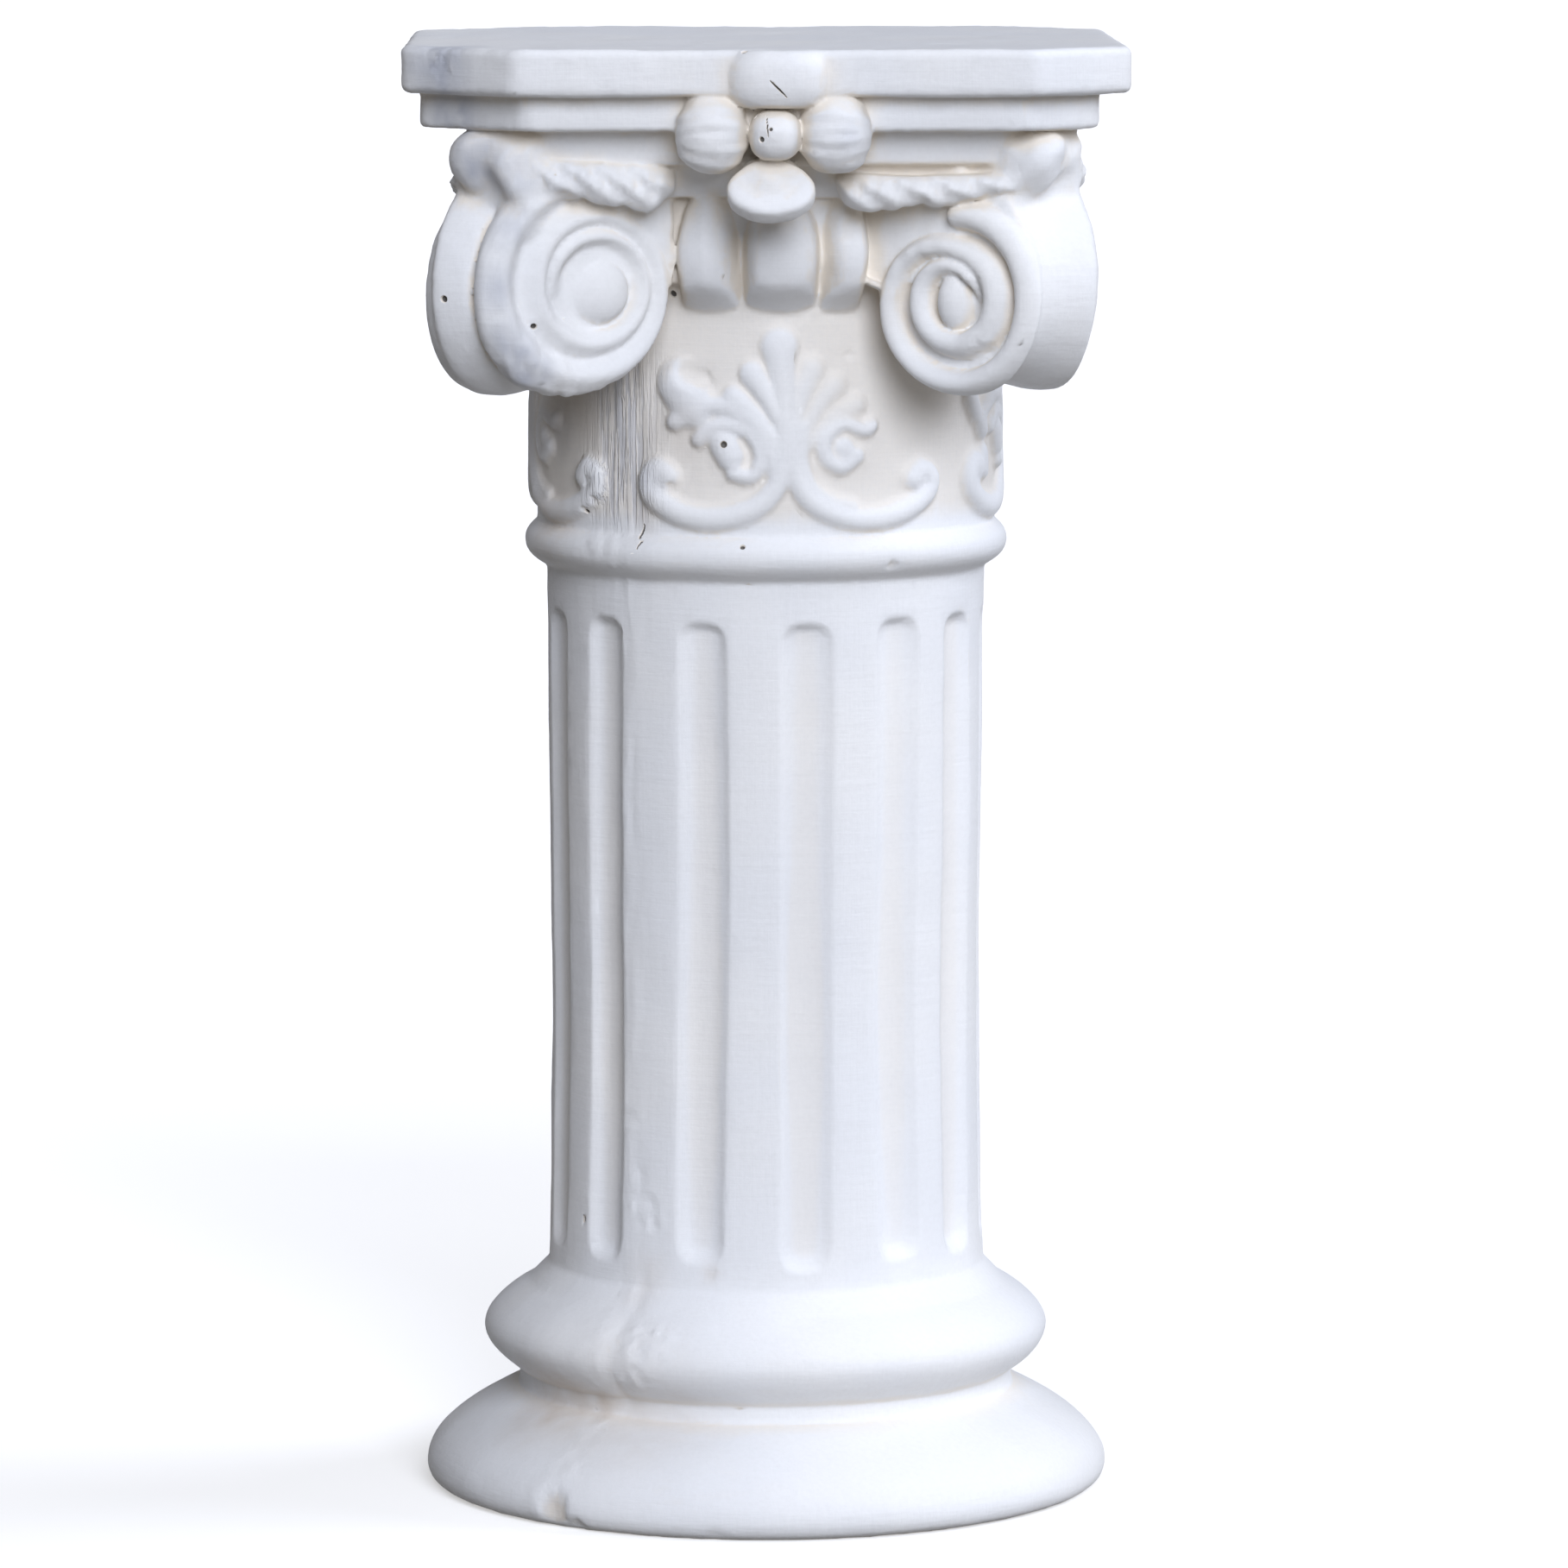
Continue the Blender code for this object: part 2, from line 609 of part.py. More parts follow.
def main():
    clear_scene()
    casting = new_collection("column_pedestal")
    cuts = new_collection("cutters")
    ornaments = new_collection("ornaments")
    pedestal = lathe()
    casting.objects.link(pedestal)
    pedestal.data.materials.append(plaster())
    flute_cutters(cuts)
    abacus(ornaments)
    volutes(ornaments)
    lobes(ornaments)
    flowers(ornaments)
    leaf_bands(ornaments)
    palmettes(ornaments)
    boolean(pedestal, "flutes", "DIFFERENCE", cuts)
    boolean(pedestal, "ornaments", "UNION", ornaments)


main()
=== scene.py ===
import math

import bmesh
import bpy
import numpy as np
import openvdb
from mathutils import Matrix, Vector


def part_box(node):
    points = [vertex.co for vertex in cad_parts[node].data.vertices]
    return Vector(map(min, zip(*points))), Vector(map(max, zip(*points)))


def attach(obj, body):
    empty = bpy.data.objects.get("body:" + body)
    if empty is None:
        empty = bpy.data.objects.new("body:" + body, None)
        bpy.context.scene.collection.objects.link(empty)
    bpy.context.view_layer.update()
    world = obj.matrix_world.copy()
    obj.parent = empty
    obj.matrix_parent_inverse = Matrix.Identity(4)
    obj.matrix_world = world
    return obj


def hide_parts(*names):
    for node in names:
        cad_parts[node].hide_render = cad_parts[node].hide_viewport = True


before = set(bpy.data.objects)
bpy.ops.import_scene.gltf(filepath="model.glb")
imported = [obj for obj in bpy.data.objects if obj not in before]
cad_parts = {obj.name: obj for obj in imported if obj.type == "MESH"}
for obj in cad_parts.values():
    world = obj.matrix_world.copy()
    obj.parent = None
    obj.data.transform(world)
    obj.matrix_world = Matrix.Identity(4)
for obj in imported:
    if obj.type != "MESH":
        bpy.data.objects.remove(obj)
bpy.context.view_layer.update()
LOW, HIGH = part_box("pedestal")

# The sizes below are millimetres on a pedestal 700 high, whose front faces -Y
HEIGHT = 700.0
TO_METRES = (HIGH.z - LOW.z) / HEIGHT

# Voxels of the casting's distance field
STEP = 1.4
HALF_SPAN = 189.0
FLOOR_MARGIN = 5.6
ANGLES = 2880

# The cap before the pits, whose finer faces add about 14,000 triangles
MOST_TRIANGLES = 181000

# In metres: how near the floor a point is laid on it
FLOOR_SNAP = 0.0004

# Base
FOOT_RADIUS = 157.0
FOOT_ROUNDING = 9.0
LOWER_TORUS_RADIUS = 165.0
LOWER_TORUS_TOP = 48.0
SCOTIA_RADIUS = 119.5
UPPER_TORUS_FOOT = 54.0
UPPER_TORUS_TOP = 98.0
UPPER_TORUS_RADIUS = 136.4
UPPER_TORUS_EDGE = 115.9
SHOULDER_TOP = 109.0

# Shaft
SHAFT_FOOT = 110.0
SHAFT_TOP = 446.0
SHAFT_WAIST = 260.0
SHAFT_FOOT_RADIUS = 105.6
SHAFT_WAIST_RADIUS = 103.4
SHAFT_TOP_RADIUS = 105.2
FLUTE_ANGLES = (-48.0, -17.6, 9.8, 36.0, 60.2, 85.0)
FLUTE_COUNT = 14
FLUTE_WIDTH = 24.0
FLUTE_DEPTH = 5.0
FLUTE_FOOT = 119.0
FLUTE_TOP = 428.0
SEAM_ANGLE = -38.5
SEAM_TOP = 575.0
FOLD_ANGLE = -34.0

# Astragal, neck and bell
ASTRAGAL_FOOT = 448.0
ASTRAGAL_TOP = 471.0
ASTRAGAL_RADIUS = 116.0
ASTRAGAL_EDGE = 106.5
NECK_RADIUS = 109.8
NECK_TOP = 576.0
BELL_RADIUS = 118.0
BELL_FOOT = 606.0
BELL_TOP = 688.0
RELIEF_RADIUS = 111.0
RELIEF_FOOT = 468.0
RELIEF_TOP = 574.0
STROKE_STEPS = 60
PALMETTE_ANGLE = 3.6

# Abacus and the steps under it. The sides, left and right, aren't quite even
ABACUS_HALF = 171.6
ABACUS_SIDES = (171.6, 168.6)
ABACUS_FOOT = 677.7
MIDDLE_HALF = 160.0
MIDDLE_SIDES = (163.0, 153.5)
MIDDLE_FOOT = 661.5
LOWER_HALF = 145.0
LOWER_SIDES = (142.5, 145.0)
LOWER_TAPER = 5.0
LOWER_FOOT = 645.0
CORNER_CUT = 49.0
SOFFIT_HALF = 136.0
SOFFIT_SIDES = (136.0, 136.0)
SOFFIT_TAPER = 14.0
SOFFIT_FOOT = 629.0

# Volutes
VOLUTE_CENTRE = 158.5
VOLUTE_HEIGHT = 587.0
VOLUTE_ALONG = 44.5
VOLUTE_UP = 49.4
VOLUTE_HALF = 40.7
VOLUTE_FLARE = 0.268
CHANNEL_DEPTH = 5.0
CREASE_DEPTH = 8.5
CREASE_SHIFT = 2.0
FAR_ROLL_WIDTH = 22.0
FAR_ROLL_SWELL = 2.2
NEAR_ROLL_WIDTH = 12.0
PLAIN_EDGE_DROP = 1.0
PLAIN_LEDGE_DROP = 1.3
PLAIN_HALF = 35.4
PLAIN_FLARE = 0.394
DISC_CENTRE = 155.5

# Lobes: angle of the middle, half width, place of the ridge and half width of the flat on it
LOBES = ((-14.3, 17.5, 1.5, 0.0), (2.8, 21.0, -4.0, 11.0), (17.3, 13.0, 4.5, 0.0))
LOBE_FOOT = 574.0
LOBE_SPRING = 598.0
LOBE_TOP = 634.0
LOBE_RISE = 15.5


def join(a, b, blend):
    """The union of two distance fields, with its inner edge rounded over the blend."""
    share = np.clip(0.5 + 0.5 * (b - a) / blend, 0.0, 1.0)
    return b + (a - b) * share - blend * share * (1.0 - share)


def common(a, b, blend):
    return -join(-a, -b, blend)


def smooth(low, high, value):
    """0 at the low value and 1 at the high one. With the two turned round it falls."""
    share = np.clip((value - low) / (high - low), 0.0, 1.0)
    return share * share * (3.0 - 2.0 * share)


def box_distance(places, halves):
    """The distance to a box or, with two axes, to a rectangle, about the origin."""
    gaps = [np.abs(place) - half for place, half in zip(places, halves)]
    outside = sum(np.maximum(gap, 0.0) ** 2 for gap in gaps) ** 0.5
    inside = np.minimum(np.maximum.reduce(np.broadcast_arrays(*gaps)), 0.0)
    return outside + inside


def pillow(places, centre, halves, power=2.0):
    """About the distance to an ellipsoid or, with a higher power, to a fuller shape."""
    scaled = [np.abs((place - middle) / half) for place, middle, half in zip(places, centre, halves)]
    return (sum(share**power for share in scaled) ** (1 / power) - 1.0) * min(halves)


def curve_through(points, count):
    """Places evenly along a smooth curve through the points, each any number of values."""
    points = np.array(points, float)
    padded = np.vstack([2 * points[0] - points[1], points, 2 * points[-1] - points[-2]])
    spans = len(points) - 1
    at = np.linspace(0, spans, count)
    span = np.minimum(at.astype(int), spans - 1)
    t = (at - span)[:, None]
    p0, p1, p2, p3 = (padded[span + i] for i in range(4))
    return p1 + 0.5 * t * (p2 - p0 + t * (2 * p0 - 5 * p1 + 4 * p2 - p3 + t * (3 * (p1 - p2) + p3 - p0)))


def noise(points, cell, seed):
    """Smooth noise between -1 and 1 with bumps a cell wide."""
    side = 24
    table = np.random.default_rng(seed).uniform(-1, 1, (side, side, side)).astype(np.float32)
    place = points / np.asarray(cell, np.float32)
    base = np.floor(place).astype(np.int32)
    part = place - base
    part = part * part * (3 - 2 * part)
    total = np.zeros(len(points), np.float32)
    for corner in np.ndindex(2, 2, 2):
        weight = np.ones(len(points), np.float32)
        for axis in range(3):
            weight = weight * (part[:, axis] if corner[axis] else 1 - part[:, axis])
        index = (base + np.array(corner, np.int32)) % side
        total += weight * table[index[:, 0], index[:, 1], index[:, 2]]
    return total


# The turned part, as a radius at every angle and height


def bulge(z, foot, top, widest, edge, power):
    """A moulding's radius, widest at half its height, and 0 above and below it."""
    t = np.abs((2 * z - foot - top) / (top - foot))
    return np.where(t <= 1, widest - (widest - edge) * t**power, 0.0)


def outline(z):
    """The turned radius at each height, without the flutes and ornaments."""
    rounding = 1 - (1 - np.clip(z / FOOT_ROUNDING, 0, 1)) ** 2
    foot = FOOT_RADIUS + (LOWER_TORUS_RADIUS - FOOT_RADIUS) * np.sqrt(rounding)
    fall = np.clip((z - FOOT_ROUNDING) / (LOWER_TORUS_TOP - FOOT_ROUNDING), 0, 1)
    lower = foot - (LOWER_TORUS_RADIUS - SCOTIA_RADIUS) * fall**2
    lower = np.where(z < UPPER_TORUS_FOOT + 8, np.maximum(lower, SCOTIA_RADIUS), 0.0)
    upper = bulge(z, UPPER_TORUS_FOOT, UPPER_TORUS_TOP, UPPER_TORUS_RADIUS, UPPER_TORUS_EDGE, 1.9)
    slope = (z - UPPER_TORUS_TOP) / (SHOULDER_TOP - UPPER_TORUS_TOP)
    shoulder = UPPER_TORUS_EDGE - 0.5 + (SHAFT_FOOT_RADIUS - UPPER_TORUS_EDGE) * slope
    shoulder = np.where((slope > -0.5) & (slope < 1), shoulder, 0.0)
    below = (SHAFT_WAIST - z) / (SHAFT_WAIST - SHAFT_FOOT)
    above = (z - SHAFT_WAIST) / (SHAFT_TOP - SHAFT_WAIST)
    shaft = np.where(
        z < SHAFT_WAIST,
        SHAFT_WAIST_RADIUS + (SHAFT_FOOT_RADIUS - SHAFT_WAIST_RADIUS) * np.clip(below, 0, 1) ** 2,
        SHAFT_WAIST_RADIUS + (SHAFT_TOP_RADIUS - SHAFT_WAIST_RADIUS) * np.clip(above, 0, 1) ** 0.7,
    )
    shaft = np.where((z > UPPER_TORUS_TOP - 4) & (z < ASTRAGAL_TOP), shaft, 0.0)
    astragal = bulge(z, ASTRAGAL_FOOT, ASTRAGAL_TOP, ASTRAGAL_RADIUS, ASTRAGAL_EDGE, 2.3)
    neck = NECK_RADIUS + (BELL_RADIUS - NECK_RADIUS) * smooth(NECK_TOP, BELL_FOOT, z)
    neck = np.where(z > ASTRAGAL_TOP - 8, neck, 0.0)
    return np.maximum.reduce([lower, upper, shoulder, shaft, astragal, neck])


def flute_angles():
    """The flutes' angles: those that show, and the rest spread evenly between them."""
    hidden = FLUTE_COUNT - len(FLUTE_ANGLES)
    first, last = FLUTE_ANGLES[-1], FLUTE_ANGLES[0] + 360
    return list(FLUTE_ANGLES) + [first + (last - first) * (i + 1) / (hidden + 1) for i in range(hidden)]


def flute_depth(angle, z, number):
    """The depth of one flute at angles from its middle, in radians, and heights."""
    rng = np.random.default_rng(50 + number)
    wander = sum(
        rng.uniform(0.1, 0.6) * np.sin(z / rng.uniform(30, 90) + rng.uniform(0, 6.3)) for _ in range(3)
    )
    width = FLUTE_WIDTH + rng.uniform(-1.2, 1.2)
    width = width + 0.8 * np.sin(z / rng.uniform(60, 120) + rng.uniform(0, 6.3))
    along = np.abs(angle * SHAFT_WAIST_RADIUS - wander) / (width / 2)
    across = 1 - np.clip(along, 0, 1) ** 2.5
    rounding = 9.0
    over = np.clip(along * FLUTE_WIDTH / 2 - (FLUTE_WIDTH / 2 - rounding), 0, rounding)
    corner = rounding - np.sqrt(rounding**2 - over**2)
    top = FLUTE_TOP + rng.uniform(-1, 2) - corner - z
    foot = z - FLUTE_FOOT - rng.uniform(-1, 3) - corner
    head_wall = 1 - (1 - np.clip(top / 5.0, 0, 1)) ** 2
    foot_wall = 1 - (1 - np.clip(foot / 10.0, 0, 1)) ** 2
    depth = FLUTE_DEPTH * rng.uniform(0.9, 1.06)
    return depth * across * head_wall * foot_wall


def stroke(s, z, points, widths, height):
    """The height of a raised stroke along a curve, with a half width at its start and at its end."""
    middle = curve_through(points, STROKE_STEPS)
    half = np.linspace(widths[0], widths[1], STROKE_STEPS)
    near_s = (s > middle[:, 0].min() - max(widths)) & (s < middle[:, 0].max() + max(widths))
    near_z = (z > middle[:, 1].min() - max(widths)) & (z < middle[:, 1].max() + max(widths))
    field = np.zeros((s.size, z.size))
    patch = np.ix_(near_s, near_z)
    best = np.full(field[patch].shape, 4.0)
    for (mid_s, mid_z), reach in zip(middle, half):
        gap = ((s[near_s] - mid_s)[:, None] ** 2 + (z[near_z] - mid_z)[None, :] ** 2) / reach**2
        best = np.minimum(best, gap)
    field[patch] = height * np.clip(1 - best, 0, 1) ** 0.55
    return field


# The palmette's strokes: (along, height) from its middle, the half widths at both ends, and the rise
LEAVES = (
    (((1.3, 512), (0.4, 530), (-1.4, 550), (-2.2, 559)), (3.0, 9.6), 4.2),
    (((-2.3, 523), (-9.0, 536), (-15.5, 546)), (3.4, 6.4), 4.2),
    (((-4.1, 514), (-15.0, 527), (-24.0, 535)), (3.4, 6.0), 4.2),
    (((4.9, 522), (9.0, 538), (13.2, 548)), (3.6, 7.4), 2.8),
    (((8.0, 516), (17.0, 532), (24.0, 540)), (3.6, 7.0), 2.5),
    (((11.0, 512), (24.0, 526), (35.0, 531)), (3.6, 6.0), 2.4),
)
LEFT_SCROLLS = (
    (((-52.3, 523), (-33.2, 531), (-15, 524), (-5.9, 508), (-2.5, 495)), (5.0, 5.6), 4.4),
    (
        ((-40.7, 515), (-33.2, 521), (-25.9, 522), (-16, 517.5), (-11, 507.5), (-15, 498), (-24.1, 499)),
        (4.2, 4.2),
        4.2,
    ),
    (((-28.5, 513), (-25.5, 507)), (7.6, 7.2), 5.2),
    (
        (
            (0.4, 525.6), (-0.5, 507.5), (-4.1, 493), (-15, 482.5), (-33.3, 477.5), (-50.4, 480),
            (-62.5, 487), (-66, 494.3), (-61.5, 499), (-57, 497),
        ),
        (5.4, 7.4),
        4.8,
    ),
)
RIGHT_SCROLLS = (
    (
        ((43, 521), (39, 519), (28.2, 522), (19.7, 516), (19.7, 507), (27.2, 502), (35, 507)),
        (3.8, 4.6),
        3.8,
    ),
    (((28.2, 511.5), (29.0, 510.5)), (5.6, 5.6), 4.0),
    (((9.0, 522), (8.6, 505), (14.5, 492), (24, 486), (34, 484)), (3.8, 2.8), 3.2),
    (
        (
            (3.1, 520), (4.9, 500), (12.3, 486.5), (27.3, 478.5), (43.1, 476.5), (60.5, 480),
            (74.5, 487.5), (77.5, 495), (71.0, 498.5), (67.0, 495),
        ),
        (5.6, 6.4),
        4.8,
    ),
)
LUMPS = (
    (((-64.8, 532), (-60.5, 524)), (6.5, 5.8), 4.4),
    (((-54.5, 519), (-52.5, 515)), (6.5, 5.8), 4.6),
    (((-51, 504), (-49, 494)), (5.8, 4.2), 4.0),
)
SHELL = (((-49.0, 541), (-43.5, 530)), (13.0, 10.5), 5.4)
SHELL_HOLLOW = (((-45.5, 546), (-39.8, 543)), (6.2, 5.0), 4.2)


def palmette(s, z, shell):
    """The relief over one quarter of the neck."""
    strokes = LEAVES + LEFT_SCROLLS + RIGHT_SCROLLS + (() if shell else LUMPS)
    relief = np.zeros((s.size, z.size))
    for points, widths, height in strokes:
        relief = np.maximum(relief, stroke(s, z, points, widths, height))
    if shell:
        relief = np.maximum(relief, stroke(s, z, *SHELL))
        relief = relief - stroke(s, z, *SHELL_HOLLOW)
    return relief


def lobe_height(s, z, half, ridge, flat):
    """How far a lobe stands out of the bell: a blunt block of flat cuts, with its foot cut back."""
    spring = np.clip((z - LOBE_SPRING) / (LOBE_TOP - LOBE_SPRING), 0, 1)
    arch = half * np.sqrt(1 - spring**2) - 1.5 * np.clip((LOBE_SPRING - 10 - z) / 14, 0, 1) ** 2
    face = LOBE_RISE + 1.2 - 0.24 * np.maximum(np.abs(s - ridge) - flat, 0) - 0.008 * s**2
    face = face - 0.0035 * (z - 593) ** 2 - 0.10 * (z - 600)
    side = 2.6 * (arch - np.abs(s))
    foot = 1.3 * (z - LOBE_FOOT) - 0.012 * s**2
    body = common(-face, -side, 8.0)
    body = -common(body, -foot, 5.0)
    return np.maximum(body, 0.0)


def blurred(field, sigma, axis, wrap):
    """A Gaussian blur along one axis, with the standard deviation in cells."""
    reach = max(1, int(math.ceil(3 * sigma)))
    offsets = np.arange(-reach, reach + 1)
    weights = np.exp(-0.5 * (offsets / sigma) ** 2)
    weights /= weights.sum()
    pad = [(reach, reach) if i == axis else (0, 0) for i in range(field.ndim)]
    padded = np.pad(field, pad, mode="wrap" if wrap else "edge")
    size = field.shape[axis]
    total = np.zeros_like(field)
    for i, weight in enumerate(weights):
        part = [slice(None)] * field.ndim
        part[axis] = slice(i, i + size)
        total += weight * padded[tuple(part)]
    return total


def radius_map(z):
    """The radius at each of the angles, counted from the front to the right, and heights."""
    theta = (np.arange(ANGLES) + 0.5) * 2 * math.pi / ANGLES
    radius = np.repeat(outline(z)[None, :], ANGLES, axis=0)
    for number, middle in enumerate(flute_angles()):
        away = (theta - math.radians(middle) + math.pi) % (2 * math.pi) - math.pi
        close = np.abs(away) < 0.2
        radius[close] -= flute_depth(away[close][:, None], z[None, :], number)
    neck = (z > RELIEF_FOOT) & (z < RELIEF_TOP)
    quarter = ANGLES // 4
    s = (np.arange(quarter) + 0.5 - quarter / 2) * 2 * math.pi / ANGLES * RELIEF_RADIUS
    relief = np.zeros((ANGLES, neck.sum()))
    for side in range(4):
        start = int(round((PALMETTE_ANGLE + 90 * side - 45) / 360 * ANGLES))
        rows = np.arange(start, start + quarter) % ANGLES
        relief[rows] = palmette(s, z[neck], side == 0)
    relief = blurred(blurred(relief, 2.2, 0, True), 0.55, 1, False)
    radius[:, neck] += relief
    bell = (z > LOBE_FOOT - 4) & (z < 650)
    for side in range(4):
        for middle, half, ridge_at, flat in LOBES:
            away = (theta - math.radians(middle + 90 * side) + math.pi) % (2 * math.pi) - math.pi
            close = np.abs(away) < 0.22
            s_lobe = away[close] * (BELL_RADIUS + LOBE_RISE)
            height = lobe_height(s_lobe[:, None], z[bell][None, :], half, ridge_at, flat)
            patch = np.ix_(close, bell)
            radius[patch] = np.maximum(radius[patch], outline(z[bell])[None, :] + height)
    return blurred(blurred(radius, 2.0, 0, True), 0.6, 1, False)


def turned_field(x, y, z):
    """The distance to the turned part, with its flutes, relief and lobes."""
    radius = radius_map(z)
    angle_step = 2 * math.pi / ANGLES
    slope_up = np.gradient(radius, STEP, axis=1)
    slope_round = np.gradient(radius, angle_step, axis=0) / radius
    steepness = np.sqrt(1 + slope_up**2 + slope_round**2).astype(np.float32)
    radius = radius.astype(np.float32)
    theta = np.arctan2(x, -y) % (2 * math.pi)
    index = (theta / angle_step).astype(np.int32) % ANGLES
    reach = np.hypot(x, y)
    return (reach[:, :, None] - radius[index]) / steepness[index]


# The capital


def slab(x, y, z, sides, half, cut, foot, top, taper, rounding, wide_cut):
    """A slab with its corners cut off, narrower at its foot. The front-left cut can be wider."""
    narrow = taper * np.clip((top - z) / (top - foot), 0, 1)
    side = np.maximum(np.maximum(-x - sides[0], x - sides[1]), np.abs(y) - half) + narrow
    inset = 2 * half - cut - wide_cut * smooth(0, 30, -x) * smooth(0, 30, -y) - 2 * narrow * 0.7
    corner = (np.abs(x) + np.abs(y) - inset) / math.sqrt(2)
    plan = common(side, corner, 4.0)
    upright = np.abs(z - (foot + top) / 2) - (top - foot) / 2
    a, b = plan + rounding, upright + rounding
    outside = np.hypot(np.maximum(a, 0), np.maximum(b, 0))
    return outside + np.minimum(np.maximum(a, b), 0) - rounding


# Crests of the spirals, as reaches at quarter turns: up, outwards, down, inwards, up and so on
PLAIN_SPIRAL = (46.0, 43.5, 36.0, 31.5, 30.5, 26.5, 23.0, 23.0, 22.0, 20.0)
SHARP_SPIRAL = (34.0, 34.6, 36.0, 35.0, 19.5, 18.6, 19.6, 19.6, 12.5, 9.0)
SHARP_WIDTHS = (7.0, 7.2, 6.6, 5.2, 6.6, 7.4, 6.6, 6.0, 5.0, 3.0)
SPIRAL_STRETCH = 1.12
PLAIN_CENTRE = 151.0
SHARP_CENTRE = (160.0, 583.5)

# The eyes: the place outwards and up, and the halves
PLAIN_EYE = (146.0, 585, 12.5, 15.0)
SHARP_EYE = (157.0, 582, 8.6, 14.5)


def spiral_crest(reaches, along, up):
    """Places along a crest, as (outwards, height), and the share of its length."""
    turns = curve_through([(reach,) for reach in reaches], 40 * len(reaches))[:, 0]
    share = np.linspace(0, 1, turns.size)
    angle = share * math.pi / 2 * (len(reaches) - 1)
    crest = np.stack([along + turns * np.sin(angle), up + SPIRAL_STRETCH * turns * np.cos(angle)], axis=1)
    return crest, share


def ridge(u, z, crest, widths, heights, full=False):
    """The height of a ridge along a crest, over u and z: a soft wave or, if full, a round band."""
    field = np.zeros((u.size, z.size))
    for (mid_u, mid_z), width, height in zip(crest, widths, heights):
        near_u, near_z = window(u, mid_u - width, mid_u + width), window(z, mid_z - width, mid_z + width)
        gap = ((u[near_u] - mid_u)[:, None] ** 2 + (z[near_z] - mid_z)[None, :] ** 2) / width**2
        gap = np.clip(gap, 0, 1)
        wave = (1 - gap) ** 0.6 if full else 0.5 + 0.5 * np.cos(math.pi * np.sqrt(gap))
        field[near_u, near_z] = np.maximum(field[near_u, near_z], height * wave)
    return field


def dome(uu, zz, middle_u, middle_z, half_u, half_z):
    """1 in the middle of an eye, falling to 0 at its edge."""
    return np.clip(1 - ((uu - middle_u) / half_u) ** 2 - ((zz - middle_z) / half_z) ** 2, 0, 1)


def plain_face(u, z):
    """The front-left face: a broad outer band, a soft groove, an inner ring and a domed eye in a bowl."""
    crest, share = spiral_crest(PLAIN_SPIRAL, PLAIN_CENTRE, VOLUTE_HEIGHT)
    widths = 10.5 - 3.5 * share
    heights = 5.8 * np.clip((1.06 - share) * 8, 0, 1)
    face = -6.0 + ridge(u, z, crest, widths, heights)
    uu, zz = u[:, None], z[None, :]
    face = np.maximum(face, -5.6 + 7.0 * dome(uu, zz, *PLAIN_EYE) ** 0.6)
    beyond = smooth(0.98, 1.10, np.hypot((uu - DISC_CENTRE) / 38, (zz - VOLUTE_HEIGHT) / 37))
    spandrel = beyond * smooth(4, -8, uu - DISC_CENTRE) * smooth(-6, 6, zz - VOLUTE_HEIGHT)
    face = face * (1 - spandrel) - 0.6 * spandrel
    crescent, along = spiral_crest((17.5, 16.5, 15.0, 15.5, 17.5), 146.5, 587.0)
    depth = 1.6 + 2.2 * np.exp(-(((along - 0.86) / 0.16) ** 2))
    return face - ridge(u, z, crescent, np.full(along.size, 4.6), depth)


def sharp_face(u, z):
    """The front-right face: round bands with narrow, deep grooves, and an upright lump for an eye."""
    crest, share = spiral_crest(SHARP_SPIRAL, *SHARP_CENTRE)
    widths = np.interp(share, np.linspace(0, 1, len(SHARP_WIDTHS)), SHARP_WIDTHS)
    heights = 9.0 * np.clip((1.02 - share) * 12, 0, 1)
    face = -8.5 + ridge(u, z, crest, widths, heights, True)
    uu, zz = u[:, None], z[None, :]
    return np.maximum(face, -8.5 + 9.6 * dome(uu, zz, *SHARP_EYE) ** 0.5)


def sampled(table, first_u, first_z, cell, u, z):
    """The table's values between its cells."""
    at_u = np.clip((u - first_u) / cell, 0, table.shape[0] - 1.001)
    at_z = np.clip((z - first_z) / cell, 0, table.shape[1] - 1.001)
    i, j = at_u.astype(np.int32), at_z.astype(np.int32)
    a, b = at_u - i, at_z - j
    low = table[i, j] * (1 - a) + table[i + 1, j] * a
    high = table[i, j + 1] * (1 - a) + table[i + 1, j + 1] * a
    return low * (1 - b) + high * b


def channel(v, half):
    """How deep the rim is hollowed: a groove beside the sharp face and a slow rise to the other."""
    return CHANNEL_DEPTH * smooth(-27, -19, v) * smooth(22, -14, v) + ledge(v, half)


def crease(v, half):
    """Two round rolls that meet in a crease. The near one ends in a ledge beside the plain face."""
    width = np.where(v < CREASE_SHIFT, FAR_ROLL_WIDTH, NEAR_ROLL_WIDTH)
    rise = np.clip(np.abs(v - CREASE_SHIFT) / width, 0, 1)
    roll = CREASE_DEPTH * (1 - np.sqrt(1 - (1 - rise) ** 2))
    swell = FAR_ROLL_SWELL * smooth(-4, -20, v) * smooth(-42, -30, v)
    return roll - swell + PLAIN_EDGE_DROP * smooth(half - 11, half - 5, v) + ledge(v, half)


def ledge(v, half):
    """The small step down on the rim beside the plain face."""
    return PLAIN_LEDGE_DROP * smooth(half - 5.0, half - 3.5, v)


